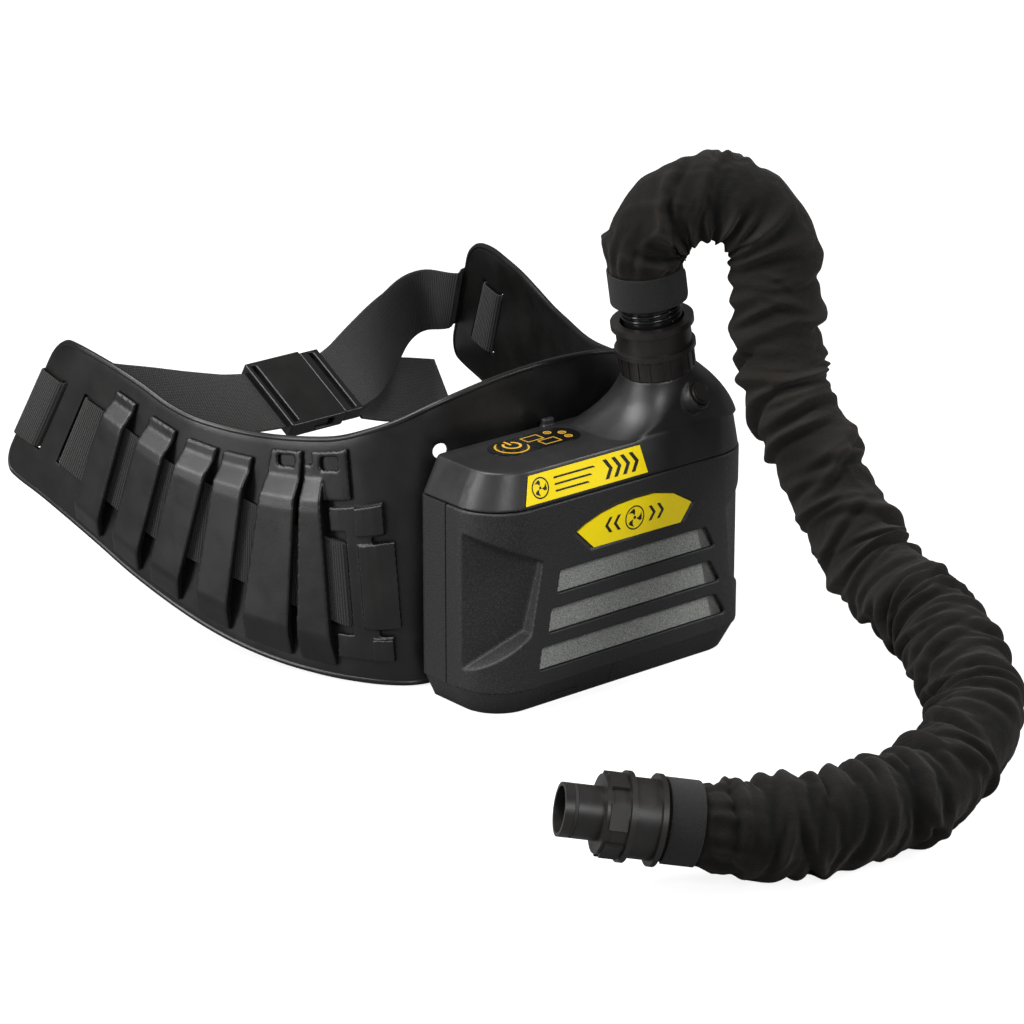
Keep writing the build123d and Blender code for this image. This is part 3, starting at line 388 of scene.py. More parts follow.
# hip plate: one sheet with its slots, thickened, edges rounded, then the round vents
SLO, SHI = 0.246, 0.754


def make_plate():
    R = 0.016
    marks = set(np.round(np.arange(-16, 16.001, 0.125), 4))
    for sl in (14.8, 13.8):
        for e in (-0.12, 0.12):
            for sg in (-1, 1):
                marks.add(round(sg * (sl + e), 4))
    for k in np.linspace(0, 1, 9):
        marks.add(round(16 - 0.62 * (1 - k) ** 1.6, 4))
        marks.add(-round(16 - 0.62 * (1 - k) ** 1.6, 4))
    S = sorted(marks)
    # drop marks that crowd each other
    keep = [S[0]]
    must = {round(sg * (sl + e), 4) for sl in (14.8, 13.8) for e in (-0.12, 0.12) for sg in (-1, 1)} | {-16.0, 16.0}
    for s in S[1:]:
        if s in must:
            if s - keep[-1] < 0.02 and keep[-1] not in must:
                keep.pop()
            keep.append(s)
        elif s - keep[-1] > 0.03:
            keep.append(s)
    S = keep
    V = sorted(set(np.round(np.linspace(0, 1, 25), 4)) | {SLO, SHI})
    V = [v for v in V if v in (SLO, SHI) or (abs(v - SLO) > 0.015 and abs(v - SHI) > 0.015)]
    verts, uvs, ids = [], [], {}
    seglen = 0.03
    for i, s in enumerate(S):
        b, u, n, t = st(s)
        h = np.linalg.norm(u - b)
        e = (16 - abs(s)) * seglen * 0.9
        ins = 0.0
        if e < R:
            ins = R - math.sqrt(max(R * R - (R - e) ** 2, 0))
        f0, f1 = ins / h, 1 - ins / h
        for j, v in enumerate(V):
            vv = f0 + (f1 - f0) * v
            p = b + (u - b) * vv
            verts.append(p)
            uvs.append((s * 0.02, vv * 0.15))
            ids[i, j] = len(verts) - 1
    faces = []
    for i in range(len(S) - 1):
        sm = (abs(S[i]) + abs(S[i + 1])) / 2
        for j in range(len(V) - 1):
            vm = (V[j] + V[j + 1]) / 2
            if SLO < vm < SHI and any(abs(sm - sl) < 0.12 for sl in (14.8, 13.8)):
                continue
            faces.append((ids[i, j], ids[i + 1, j], ids[i + 1, j + 1], ids[i, j + 1]))
    o = new_obj("hip_plate_shell", verts, faces, uvs)
    # outward normals
    me = o.data
    f = me.polygons[len(me.polygons) // 2]
    if f.normal.y > 0:
        me.flip_normals()
    sol = o.modifiers.new("solid", "SOLIDIFY")
    sol.thickness = 0.003
    sol.offset = -1
    sol.use_even_offset = True
    apply_mods(o)
    for sg in (-1, 1):
        b, u, n, t = st(sg * 2.08)
        p = on_belt(sg * 2.08, 0.83, 0)
        bpy.ops.mesh.primitive_cylinder_add(vertices=40, radius=0.005, depth=0.03, location=p)
        cut = bpy.context.object
        cut.rotation_mode = "QUATERNION"
        cut.rotation_quaternion = Vector(n).to_track_quat("Z", "Y")
        bpy.context.view_layer.update()
        bo = o.modifiers.new("vent", "BOOLEAN")
        bo.object, bo.operation, bo.solver = cut, "DIFFERENCE", "EXACT"
        apply_mods(o)
        bpy.data.objects.remove(cut)
    bevel(o, 0.0009, 3, 50)
    apply_mods(o)
    smooth_by_angle(o, 45)
    give(o, "belt_plastic")
    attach(o, BASE)
    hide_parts("hip_plate")
    return o


def tube_along(pts, r, name, sides=12, closed=False, ellipse=None, up=None):
    pts = np.asarray(pts, float)
    n = len(pts)
    tang = np.zeros_like(pts)
    for i in range(n):
        a = pts[(i - 1) % n] if closed else pts[max(i - 1, 0)]
        b = pts[(i + 1) % n] if closed else pts[min(i + 1, n - 1)]
        tang[i] = (b - a) / max(np.linalg.norm(b - a), 1e-9)
    verts, faces, uvs = [], [], []
    x = np.cross(tang[0], [0, 0, 1.0])
    if np.linalg.norm(x) < 1e-3:
        x = np.cross(tang[0], [0, 1.0, 0])
    x /= np.linalg.norm(x)
    L = 0
    for i in range(n):
        x = x - tang[i] * (x @ tang[i])
        x /= np.linalg.norm(x)
        y = np.cross(tang[i], x)
        rr = r[i] if hasattr(r, "__len__") else r
        if i:
            L += np.linalg.norm(pts[i] - pts[i - 1])
        for k in range(sides):
            a = 2 * math.pi * k / sides
            verts.append(pts[i] + rr * (x * math.cos(a) + y * math.sin(a)))
            uvs.append((k / sides * 2 * math.pi * rr, L))
    for i in range(n if closed else n - 1):
        for k in range(sides):
            a, b = i * sides + k, i * sides + (k + 1) % sides
            c2, d = ((i + 1) % n) * sides + (k + 1) % sides, ((i + 1) % n) * sides + k
            faces.append((a, b, c2, d))
    if not closed:
        faces.append(tuple(range(sides))[::-1])
        faces.append(tuple((n - 1) * sides + k for k in range(sides)))
    return new_obj(name, verts, faces, uvs)


plate = make_plate()
# rim bead along the whole edge of the hip plate
edge = []
R = 0.016
S = list(np.linspace(-16, 16, 260))
SE = [16 - 0.62 * (1 - k) ** 1.6 for k in np.linspace(0, 1, 12)]
S = sorted(set(np.round(np.concatenate([np.arange(-15.3, 15.31, 0.125), SE, [-x for x in SE]]), 4)))


def rim_pt(s, top):
    b, u, n, t = st(s)
    h = np.linalg.norm(u - b)
    e = (16 - abs(s)) * 0.027
    ins = R - math.sqrt(max(R * R - (R - e) ** 2, 0)) if e < R else 0.0
    f = 1 - ins / h if top else ins / h
    return b + (u - b) * f - n * 0.0015


loop = [rim_pt(s, False) for s in S] + [rim_pt(s, True) for s in S[::-1]]
clean = [loop[0]]
for p in loop[1:]:
    if np.linalg.norm(p - clean[-1]) > 0.0012:
        clean.append(p)
rim = tube_along(clean, 0.0021, "hip_plate_rim", 10, closed=True)
give(rim, "belt_plastic")
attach(rim, BASE)

# ------------------------------------------------------------------ webbing
WEB_W, WEB_T = 0.054, 0.0017


def ribbon(name, pts, body=BASE, width=None, t=WEB_T, sub=3, replaces=None, mat="webbing_fabric", ride=True, wob=0.0):
    """Webbing through (centre, half-width vector) pairs, smoothed, with thickness, rounded edges and UVs in metres."""
    C = np.array([p[0] for p in pts], float)
    W = np.array([p[1] for p in pts], float)
    n = len(C)

    def cr(A, i, f):
        p1, p2 = A[i], A[i + 1]
        p0 = A[i - 1] if i > 0 else 2 * p1 - p2
        p3 = A[i + 2] if i + 2 < n else 2 * p2 - p1
        # centripetal-like damping: limit the tangents to the shorter neighbour
        l1 = np.linalg.norm(p2 - p1)
        m1 = (p2 - p0) / max(np.linalg.norm(p2 - p0), 1e-9) * l1
        m2 = (p3 - p1) / max(np.linalg.norm(p3 - p1), 1e-9) * l1
        h = f
        return (2 * h ** 3 - 3 * h * h + 1) * p1 + (h ** 3 - 2 * h * h + h) * m1 + (-2 * h ** 3 + 3 * h * h) * p2 + (h ** 3 - h * h) * m2

    P, H = [], []
    for i in range(n - 1):
        l = np.linalg.norm(C[i + 1] - C[i])
        k = max(2, int(math.ceil(l / 0.004)) * 1) if l > 0.004 else sub
        for j in range(k):
            f = j / k
            P.append(cr(C, i, f))
            w = W[i] * (1 - f) + W[i + 1] * f
            H.append(w / np.linalg.norm(w) * np.linalg.norm(W[i]))
    P.append(C[-1])
    H.append(W[-1])
    P, H = np.array(P), np.array(H)
    m = len(P)
    cross = [(-1.0, 0.0), (-0.985, 0.42), (-0.955, 0.5), (-0.6, 0.5), (-0.2, 0.5), (0.2, 0.5), (0.6, 0.5), (0.955, 0.5), (0.985, 0.42),
             (1.0, 0.0), (0.985, -0.42), (0.955, -0.5), (0.6, -0.5), (0.2, -0.5), (-0.2, -0.5), (-0.6, -0.5), (-0.955, -0.5), (-0.985, -0.42)]
    verts, uvs, faces = [], [], []
    L = 0.0
    for i in range(m):
        a, b = P[max(i - 1, 0)], P[min(i + 1, m - 1)]
        tn = (b - a) / np.linalg.norm(b - a)
        nd = np.cross(H[i], tn)
        nd /= np.linalg.norm(nd)
        if i:
            L += np.linalg.norm(P[i] - P[i - 1])
        for (cu, cv) in cross:
            q = P[i] + H[i] * cu + nd * (cv * t)
            if wob:
                q = q + nd * wob * math.sin(cu * 2.1 + L * 90) * (abs(cu))
            verts.append(q)
            uvs.append((cu * np.linalg.norm(H[i]), L + (0.0003 if cv < 0 else 0)))
    k = len(cross)
    for i in range(m - 1):
        for j in range(k):
            faces.append((i * k + j, i * k + (j + 1) % k, (i + 1) * k + (j + 1) % k, (i + 1) * k + j))
    faces.append(tuple(range(k))[::-1])
    faces.append(tuple((m - 1) * k + j for j in range(k)))
    o = new_obj(name, verts, faces, uvs)
    bm = bmesh.new()
    bm.from_mesh(o.data)
    bmesh.ops.recalc_face_normals(bm, faces=bm.faces)
    bm.to_mesh(o.data)
    bm.free()
    smooth_by_angle(o, 50)
    give(o, mat)
    if ride:
        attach(o, body)
    if replaces:
        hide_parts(replaces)
    return o


def bp(s, d, side, width=WEB_W):
    vc = 0.40 + 0.10 * max(0.0, min(1.0, (s - 5.0) / 3.0))
    c0 = on_belt(side * s, vc, d)
    w = on_belt(side * s, vc + 0.1, d) - on_belt(side * s, vc - 0.1, d)
    return c0, w / np.linalg.norm(w) * width / 2


def wing_run(side):
    pts = [bp(s, d, side) for s, d in ((5.45, 0.0010), (5.15, 0.0010), (5.0, 0.0018), (4.97, 0.0029), (5.06, 0.0040), (5.25, 0.0040), (5.45, 0.0033), (5.7, 0.0027), (6.0, 0.0022))]
    pts += [bp(s, 0.0019, side) for s in (7, 8, 9, 10, 11, 12, 13, 13.5)]
    pts += [bp(13.70, 0.0016, side), bp(13.78, 0.0002, side), bp(13.80, -0.0015, side), bp(13.82, -0.0034, side), bp(13.92, -0.0050, side), bp(14.1, -0.0054, side)]
    pts += [bp(14.5, -0.0054, side), bp(14.68, -0.0050, side), bp(14.78, -0.0034, side), bp(14.80, -0.0015, side), bp(14.82, 0.0002, side), bp(14.9, 0.0017, side), bp(15.05, 0.0021, side)]
    pts += [bp(15.6, 0.0021, side), bp(15.95, 0.0021, side), bp(16.07, 0.0015, side), bp(16.13, -0.0002, side), bp(16.14, -0.0018, side)]
    return pts


BUCKLE_AT = np.array((4.0, 281.0, 103.0)) / 1000
LEFT_STRAP = [((-150.0, 322.0, 121.0), (0.12, -0.10, 0.98)), ((-108.0, 312.0, 112.0), (0.10, 0.40, 0.90)),
              ((-66.0, 297.0, 106.5), (0.08, 0.72, 0.68)), ((-38.0, 286.5, 104.0), (0.05, 0.84, 0.53)),
              ((-21.0, 281.2, 103.4), (0.0, 0.87, 0.49))]
RIGHT_STRAP = [((166.0, 349.0, 120.0), (-0.20, -0.20, 0.96)), ((132.0, 338.0, 109.0), (-0.12, 0.15, 0.98)),
               ((92.0, 312.0, 104.5), (-0.05, 0.55, 0.83)), ((60.0, 291.0, 103.5), (0.0, 0.80, 0.58)),
               ((43.5, 283.0, 103.0), (0.0, 0.87, 0.49))]
TAIL = [((46.0, 283.0, 95.0), (0.0, 0.87, 0.49)), ((80.0, 298.0, 84.0), (0.0, 0.80, 0.60)),
        ((120.0, 318.0, 72.0), (0.0, 0.70, 0.71)), ((155.0, 331.0, 60.0), (0.0, 0.60, 0.80)),
        ((185.0, 339.0, 50.0), (0.0, 0.55, 0.83))]


def world_pts(lst):
    out = []
    for c0, w in lst:
        w = np.array(w, float)
        out.append((np.array(c0, float) / 1000, w / np.linalg.norm(w) * WEB_W / 2))
    return out


def tip_pts(side):
    return [bp(16.13, -0.0020, side), bp(16.12, -0.0050, side), bp(15.98, -0.0100, side)]


ribbon("left_webbing_run", wing_run(-1), replaces="left_webbing")
ribbon("right_webbing_run", wing_run(1), replaces="right_webbing")
ribbon("left_front_webbing", tip_pts(-1) + world_pts(LEFT_STRAP), replaces="left_front_strap")
rs = ribbon("right_front_webbing", tip_pts(1) + world_pts(RIGHT_STRAP), replaces="right_front_strap", ride=False)
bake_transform(rs)
ribbon("webbing_tail_run", world_pts(TAIL), replaces="webbing_tail")

# ------------------------------------------------------------------ hose path
lean = math.radians(9.5)
AX = np.array([-math.sin(lean), 0, math.cos(lean)])
NECK = np.array([0.053, -0.035, 0.191])
nodes = [NECK + AX * 0.0470, NECK + AX * ((0.306 - NECK[2]) / AX[2])] + [np.array(p) / 1000 for p in
        ((103.0, -83.0, 306.0), (98.5, -98.0, 192.0), (92.0, -186.0, 94.0), (84.0, -258.0, 77.0), (50.0, -332.0, 52.0),
         (-20.0, -358.0, 33.0), (-85.0, -352.0, 31.0), (-140.8, -330.1, 30.3), (-165.9, -315.0, 36.0))]
radii = [0, .038, .038, .060, .060, .080, .060, .080, .060, .060, 0]
END = nodes[-1]
END_D = (nodes[-1] - nodes[-2]) / np.linalg.norm(nodes[-1] - nodes[-2])
nodes[-1] = END + END_D * 0.0222


def sample_path(step=0.0015):
    pts = [nodes[0]]
    for i in range(1, len(nodes) - 1):
        p, a, b = nodes[i], nodes[i - 1], nodes[i + 1]
        d1, d2 = (p - a) / np.linalg.norm(p - a), (b - p) / np.linalg.norm(b - p)
        half = math.acos(np.clip(d1 @ d2, -1, 1)) / 2
        t = radii[i] * math.tan(half)
        s_, e_ = p - d1 * t, p + d2 * t
        bis = (d2 - d1) / np.linalg.norm(d2 - d1)
        cen = p + bis * (radii[i] / math.cos(half))
        pts.append(s_)
        u = (s_ - cen) / radii[i]
        w = d1
        for k in range(1, 25):
            ang = 2 * half * k / 24
            pts.append(cen + radii[i] * (u * math.cos(ang) + w * math.sin(ang)))
    pts.append(nodes[-1])
    pts = np.array(pts)
    seg = np.linalg.norm(np.diff(pts, axis=0), axis=1)
    keep = np.concatenate([[True], seg > 1e-7])
    pts = pts[keep]
    cum = np.concatenate([[0], np.cumsum(np.linalg.norm(np.diff(pts, axis=0), axis=1))])
    L = cum[-1]
    m = int(L / step) + 1
    d = np.linspace(0, L, m)
    out = np.stack([np.interp(d, cum, pts[:, k]) for k in range(3)], 1)
    return d, out


PD, PP = sample_path()
PL = PD[-1]


def frames(P):
    T = np.gradient(P, axis=0)
    # smooth the tangents a little so that rings don't bunch at the arc ends
    for _ in range(6):
        T[1:-1] = (T[:-2] + T[1:-1] * 2 + T[2:]) / 4
    T /= np.linalg.norm(T, axis=1)[:, None]
    X = np.zeros_like(P)
    x = np.array([0, -1.0, 0]) - T[0] * (np.array([0, -1.0, 0]) @ T[0])
    x /= np.linalg.norm(x)
    for i in range(len(P)):
        x = x - T[i] * (x @ T[i])
        x /= np.linalg.norm(x)
        X[i] = x
    return T, X, np.cross(T, X)


PT, PX, PY = frames(PP)


def at_len(d):
    f = np.clip(d / PL, 0, 1) * (len(PP) - 1)
    i = min(int(f), len(PP) - 2)
    g = f - i
    m = lambda A: A[i] * (1 - g) + A[i + 1] * g
    return m(PP), m(PT), m(PX), m(PY)




# ------------------------------------------------------------------ fabric sleeve
NS = 60                                              # points round the sleeve
D = np.linspace(0, PL, int(PL / 0.0030) + 1)
CEN = np.stack([np.interp(D, PD, PP[:, k]) for k in range(3)], 1)
TT, XX, YY = frames(CEN)
TH = np.linspace(0, 2 * math.pi, NS, endpoint=False)


def radius(d):
    xs = [0, 0.0222, 0.029, 0.040, 0.08, 0.17, 0.30, 0.45, 0.62, PL - 0.20, PL - 0.075, PL - 0.036, PL - 0.0232, PL]
    ys = [0.0213, 0.0213, 0.0236, 0.0252, 0.0262, 0.0272, 0.0262, 0.0270, 0.0285, 0.0285, 0.0278, 0.0256, 0.0213, 0.0213]
    return np.interp(d, xs, ys)


def curvature():
    dT = np.gradient(TT, axis=0) / np.gradient(D)[:, None]
    k = np.linalg.norm(dT, axis=1)
    return k, dT / np.maximum(k, 1e-6)[:, None]


KAP, KDIR = curvature()


def fold_field():
    """Height of the gathers over (d, theta), in metres: ridges across the sleeve, most where it is gathered and inside bends."""
    H = np.zeros((len(D), NS))
    r = np.random.default_rng(41)
    pos = 0.030
    while pos < PL - 0.030:
        i = int(np.argmin(abs(D - pos)))
        inner = math.atan2(KDIR[i] @ YY[i], KDIR[i] @ XX[i])
        bent = min(KAP[i] * 0.045, 1.0)
        for _ in range(3):
            a0 = inner + r.normal(0, 0.8) if r.random() < bent * 0.6 else r.uniform(-math.pi, math.pi)
            amp = r.uniform(0.0016, 0.0047)
            sig = r.uniform(0.0020, 0.0050)
            wid = r.uniform(0.55, 1.5)
            tilt = r.normal(0, 0.0075)
            dk = pos + r.uniform(-0.005, 0.005)
            da = (TH - a0 + math.pi) % (2 * math.pi) - math.pi
            win = np.exp(-(da / wid) ** 2)
            line = dk + tilt * np.sin(da * 1.0) + 0.0022 * np.sin(da * 2.3 + r.uniform(0, 6))
            x = (D[:, None] - line[None, :]) / sig
            H += amp * win[None, :] * (np.exp(-np.abs(x * np.where(x > 0, 1.35, 0.85)) ** 1.25) - 0.80 * np.exp(-np.abs((x - 1.45) / 0.60) ** 1.5))
        for _ in range(3):
            a0 = r.uniform(-math.pi, math.pi)
            dk = pos + r.uniform(-0.006, 0.006)
            da = (TH - a0 + math.pi) % (2 * math.pi) - math.pi
            win = np.exp(-(da / r.uniform(0.25, 0.7)) ** 2)
            line = dk + r.normal(0, 0.018) * np.sin(da)
            x = (D[:, None] - line[None, :]) / r.uniform(0.0013, 0.0022)
            H += r.uniform(0.0005, 0.0013) * win[None, :] * (np.exp(-np.abs(x) ** 1.4) - 0.6 * np.exp(-((x - 1.5) / 0.6) ** 2))
        pos += r.uniform(0.0070, 0.0125)
    edge = np.clip(np.minimum(D - 0.0226, PL - 0.0240 - D) / 0.014, 0, 1)
    edge = edge * edge * (3 - 2 * edge)
    # small radial pleats next to the bands
    near = np.exp(-((D - 0.029) / 0.014) ** 2) * (D > 0.0224) + np.exp(-((PL - 0.030 - D) / 0.014) ** 2) * (D < PL - 0.0236)
    pleat = 0.0011 * (np.sin(TH * 13 + 0.6 * np.sin(TH * 3)) + 0.5 * np.sin(TH * 21 + 1.0))
    return H * edge[:, None] + near[:, None] * pleat[None, :]


HF = fold_field()
RAD = radius(D)
V0 = CEN[:, None, :] + (XX[:, None, :] * np.cos(TH)[None, :, None] + YY[:, None, :] * np.sin(TH)[None, :, None]) * (RAD[:, None] + HF)[:, :, None]
QF = [(i * NS + k, i * NS + (k + 1) % NS, (i + 1) * NS + (k + 1) % NS, (i + 1) * NS + k) for i in range(len(D) - 1) for k in range(NS)]
sleeve = new_obj("sleeve_whole", V0.reshape(-1, 3), QF)


def simulate(o):
    """Cloth: the sleeve is longer and wider than the path it lies on, so it buckles into gathers over the hose."""
    o.shape_key_add(name="Basis")
    rest = o.shape_key_add(name="cut_length")
    z = np.cumsum(np.concatenate([[0], np.diff(D) * np.interp(D[1:], [0, 0.0226, 0.034, PL - 0.037, PL - 0.0236, PL], [1, 1, 1.42, 1.42, 1, 1])]))
    rr = RAD * np.interp(D, [0, 0.0226, 0.040, PL - 0.047, PL - 0.0236, PL], [1, 1, 1.07, 1.07, 1, 1])
    R0 = np.stack([rr[:, None] * np.cos(TH)[None], rr[:, None] * np.sin(TH)[None], np.repeat(z[:, None], NS, 1)], 2)
    rest.data.foreach_set("co", R0.astype(np.float32).ravel())
    rest.value = 0.0
    g = o.vertex_groups.new(name="held")
    wt = np.full(len(D), 0.0)
    wt[(D < 0.0230) | (D > PL - 0.0238)] = 1.0
    for i in range(len(D)):
        if wt[i] > 0:
            g.add(list(range(i * NS, (i + 1) * NS)), float(wt[i]), "REPLACE")
    core = tube_along(CEN[::4], 0.0205, "sleeve_core", 20)
    core.modifiers.new("hit", "COLLISION")
    core.collision.thickness_outer = 0.001
    core.collision.cloth_friction = 12
    m = o.modifiers.new("cloth", "CLOTH")
    cs = m.settings
    cs.quality = 6
    cs.mass = 0.12
    cs.tension_stiffness = cs.compression_stiffness = 22
    cs.shear_stiffness = 9
    cs.bending_stiffness = 0.35
    cs.tension_damping = cs.compression_damping = 12
    cs.shear_damping = 8
    cs.bending_damping = 0.6
    cs.air_damping = 6
    cs.vertex_group_mass = "held"
    cs.rest_shape_key = rest
    cs.use_pressure = True
    cs.uniform_pressure_force = 1.2
    cs.effector_weights.gravity = 0.15
    m.collision_settings.use_collision = True
    m.collision_settings.distance_min = 0.0012
    m.collision_settings.collision_quality = 2
    m.collision_settings.use_self_collision = False
    n = 22
    m.point_cache.frame_start, m.point_cache.frame_end = 1, n
    sc = bpy.context.scene
    for f in range(1, n + 1):
        sc.frame_set(f)
    ev = o.evaluated_get(bpy.context.evaluated_depsgraph_get())
    co = np.zeros(len(o.data.vertices) * 3, np.float32)
    ev.data.vertices.foreach_get("co", co)
    co = co.reshape(-1, 3).astype(float)
    o.modifiers.clear()
    o.shape_key_clear()
    bpy.data.objects.remove(core)
    sc.frame_set(1)
    return co


SC = simulate(sleeve)
bpy.data.objects.remove(sleeve)


# finer rings than the cloth was solved on, so that the creases laid over it can be sharp
def finer(A, old, new):
    k = np.clip(np.searchsorted(old, new, side="right") - 1, 0, len(old) - 2)
    f = ((new - old[k]) / (old[k + 1] - old[k])).reshape((-1,) + (1,) * (A.ndim - 1))
    return A[k] * (1 - f) + A[k + 1] * f


D0, D = D, np.linspace(0, PL, int(PL / 0.0020) + 1)
SC = finer(SC.reshape(len(D0), NS, 3), D0, D)
CEN = np.stack([np.interp(D, PD, PP[:, k]) for k in range(3)], 1)
TT, XX, YY = frames(CEN)
KAP, KDIR = curvature()
HF = 0.0056 * np.tanh(fold_field() / 0.0056)
RAD = radius(D)
# keep it between the hose and the widest the sleeve may stand
rel = SC - CEN[:, None, :]
ax_ = np.einsum("ijk,ik->ij", rel, TT)
rad = rel - ax_[:, :, None] * TT[:, None, :]
rl = np.linalg.norm(rad, axis=2)
ax_ = np.clip(ax_, -0.007, 0.007)
over = 0.85
rl2 = RAD[:, None] + np.clip(rl - RAD[:, None], -0.0045, 0.0040) * (1.0 - 0.45 * over) + HF * over
lim = np.clip(rl2, 0.0206, (RAD + 0.0068)[:, None])
hold = ((D < 0.0222) | (D > PL - 0.0232))[:, None]
lim = np.where(hold, RAD[:, None], lim)
rad = rad / np.maximum(rl, 1e-6)[:, :, None] * lim[:, :, None]
SC = CEN[:, None, :] + rad + np.where(hold, 0, ax_)[:, :, None] * TT[:, None, :]
SC[:, :, 2] = np.maximum(SC[:, :, 2], 0.0009)
QF = [(i * NS + k, i * NS + (k + 1) % NS, (i + 1) * NS + (k + 1) % NS, (i + 1) * NS + k) for i in range(len(D) - 1) for k in range(NS)]
sleeve = new_obj("sleeve_whole", SC.reshape(-1, 3), QF)
sub = sleeve.modifiers.new("sub", "SUBSURF")
sub.levels = sub.render_levels = 1
apply_mods(sleeve)


def cut_sleeve():
    """Splits the finished sleeve at three rings that lie well inside one body each, keeping the shading continuous."""
    me = sleeve.data
    nv = len(me.vertices)
    co = np.zeros(nv * 3, np.float32)
    me.vertices.foreach_get("co", co)
    co = co.reshape(-1, 3)
    nr = np.zeros(nv * 3, np.float32)
    me.vertex_normals.foreach_get("vector", nr)
    nr = nr.reshape(-1, 3)
    # ring number of every vertex: after one subdivision rings sit at half steps of the first mesh
    ring = np.full(nv, -1)
    n0 = len(D) * NS
    ring[:n0] = np.repeat(np.arange(len(D)) * 2, NS)
    ed = np.zeros(len(me.edges) * 2, np.int32)
    me.edges.foreach_get("vertices", ed)
    ed = ed.reshape(-1, 2)
    nb_lo = np.full(nv, 10 ** 6)
    nb_hi = np.full(nv, -1)
    for a, b in ((ed[:, 0], ed[:, 1]), (ed[:, 1], ed[:, 0])):
        k = ring[b] >= 0
        np.minimum.at(nb_lo, a[k], ring[b][k])
        np.maximum.at(nb_hi, a[k], ring[b][k])
    open_ = ring < 0
    edge_pts = open_ & (nb_hi >= 0)
    ring[edge_pts] = (nb_lo[edge_pts] + nb_hi[edge_pts]) // 2
    nb_lo[:] = 10 ** 6
    nb_hi[:] = -1
    for a, b in ((ed[:, 0], ed[:, 1]), (ed[:, 1], ed[:, 0])):
        k = ring[b] >= 0
        np.minimum.at(nb_lo, a[k], ring[b][k])
        np.maximum.at(nb_hi, a[k], ring[b][k])
    left = ring < 0
    ring[left] = (nb_lo[left] + nb_hi[left]) // 2
    # the three cuts
    def near(p):
        return 2 * int(np.argmin(np.linalg.norm(CEN - np.array(p), axis=1)))
    cuts = [0, near((0.068, -0.059, 0.306)), near((0.0975, -0.105, 0.180)), near((0.020, -0.346, 0.045)), 2 * (len(D) - 1)]
    loops = np.array([list(p.vertices) for p in me.polygons])
    pr = ring[loops]
    out = []
    for a, b, name in zip(cuts[:-1], cuts[1:], ("sleeve_arch", "sleeve_fall", "sleeve_run", "sleeve_foot")):
        sel = (pr.min(1) >= a) & (pr.max(1) <= b)
        fs = loops[sel]
        used = np.unique(fs)
        back = np.full(nv, -1)
        back[used] = np.arange(len(used))
        verts, faces = co[used], back[fs]
        vn = nr[used]
        o = new_obj(name, verts, faces)
        o.data.normals_split_custom_set_from_vertices([tuple(map(float, v)) for v in vn])
        o["ring_count"] = int(b - a)
        lay = o.data.uv_layers.new(name="UVMap")
        rr = ring[used]
        # u follows the way round, v the length
        th = np.zeros(len(used))
        full = np.zeros(nv)
        base = np.interp(np.arange(2 * len(D) - 1) / 2.0, np.arange(len(D)), D)
        cen = np.stack([np.interp(rr / 2.0, np.arange(len(D)), CEN[:, k]) for k in range(3)], 1)
        xx = np.stack([np.interp(rr / 2.0, np.arange(len(D)), XX[:, k]) for k in range(3)], 1)
        yy = np.stack([np.interp(rr / 2.0, np.arange(len(D)), YY[:, k]) for k in range(3)], 1)
        q = verts - cen
        th = np.arctan2((q * yy).sum(1), (q * xx).sum(1)) % (2 * math.pi)
        lu = th[faces]
        wrap = (lu.max(1) - lu.min(1)) > math.pi
        lu[wrap] = np.where(lu[wrap] < math.pi, lu[wrap] + 2 * math.pi, lu[wrap])
        uv = np.stack([lu * 0.0275, base[rr][faces] * 1.3], 2)
        lay.data.foreach_set("uv", uv.astype(np.float32).ravel())
        # fold height per vertex; the sleeve material turns it into painted crease shade and painted crest highlight
        fo = o.data.attributes.new("fold", "FLOAT", "POINT")
        fo.data.foreach_set("value", (np.linalg.norm(q, axis=1) - np.interp(rr / 2.0, np.arange(len(D)), RAD)).astype(np.float32))
        give(o, "sleeve_fabric")
        out.append(o)
    bpy.data.objects.remove(sleeve)
    return out


arch, fall, run, foot = cut_sleeve()
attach(arch, "hose_upper")
k1 = np.array([0, -0.45, -0.893])
k1 /= np.linalg.norm(k1)
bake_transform(fall)
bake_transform(run)
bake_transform(foot)
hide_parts("sleeve_1")
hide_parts("sleeve_2")
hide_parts("sleeve_3")
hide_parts("sleeve_4")


# ------------------------------------------------------------------ cuffs, hems and the spiral above the collar
def ring_frame(o, d):
    d = d / np.linalg.norm(d)
    x = np.array([0, -1.0, 0]) - d * (np.array([0, -1.0, 0]) @ d)
    x /= np.linalg.norm(x)
    return np.array(o, float), d, x, np.cross(d, x)


def lathe(name, o, d, prof, body, mat, wav=None, seg=96, uvk=1.0, replaces=None):
    """Closed profile of (axial, radius) turned about the line from o along d; wav(theta) lifts the radius."""
    o, d, x, y = ring_frame(o, d)
    prof = np.array(prof, float)
    n = len(prof)
    verts, uvs, faces = [], [], []
    L = np.concatenate([[0], np.cumsum(np.linalg.norm(np.diff(prof, axis=0), axis=1))])
    for k in range(seg):
        a = 2 * math.pi * k / seg
        e = x * math.cos(a) + y * math.sin(a)
        w = wav(a) if wav else (0.0, 0.0)
        for j, (z, r) in enumerate(prof):
            verts.append(o + d * (z + w[0]) + e * (r + w[1]))
            uvs.append((L[j] * uvk, a * prof[:, 1].mean() * uvk))
    for k in range(seg):
        k2_ = (k + 1) % seg
        for j in range(n):
            j2 = (j + 1) % n
            faces.append((k * n + j, k * n + j2, k2_ * n + j2, k2_ * n + j))
    ob = new_obj(name, verts, faces, uvs)
    bm = bmesh.new()
    bm.from_mesh(ob.data)
    bmesh.ops.recalc_face_normals(bm, faces=bm.faces)
    bm.to_mesh(ob.data)
    bm.free()
    smooth_by_angle(ob, 60)
    give(ob, mat)
    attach(ob, body)
    if replaces:
        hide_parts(replaces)
    return ob


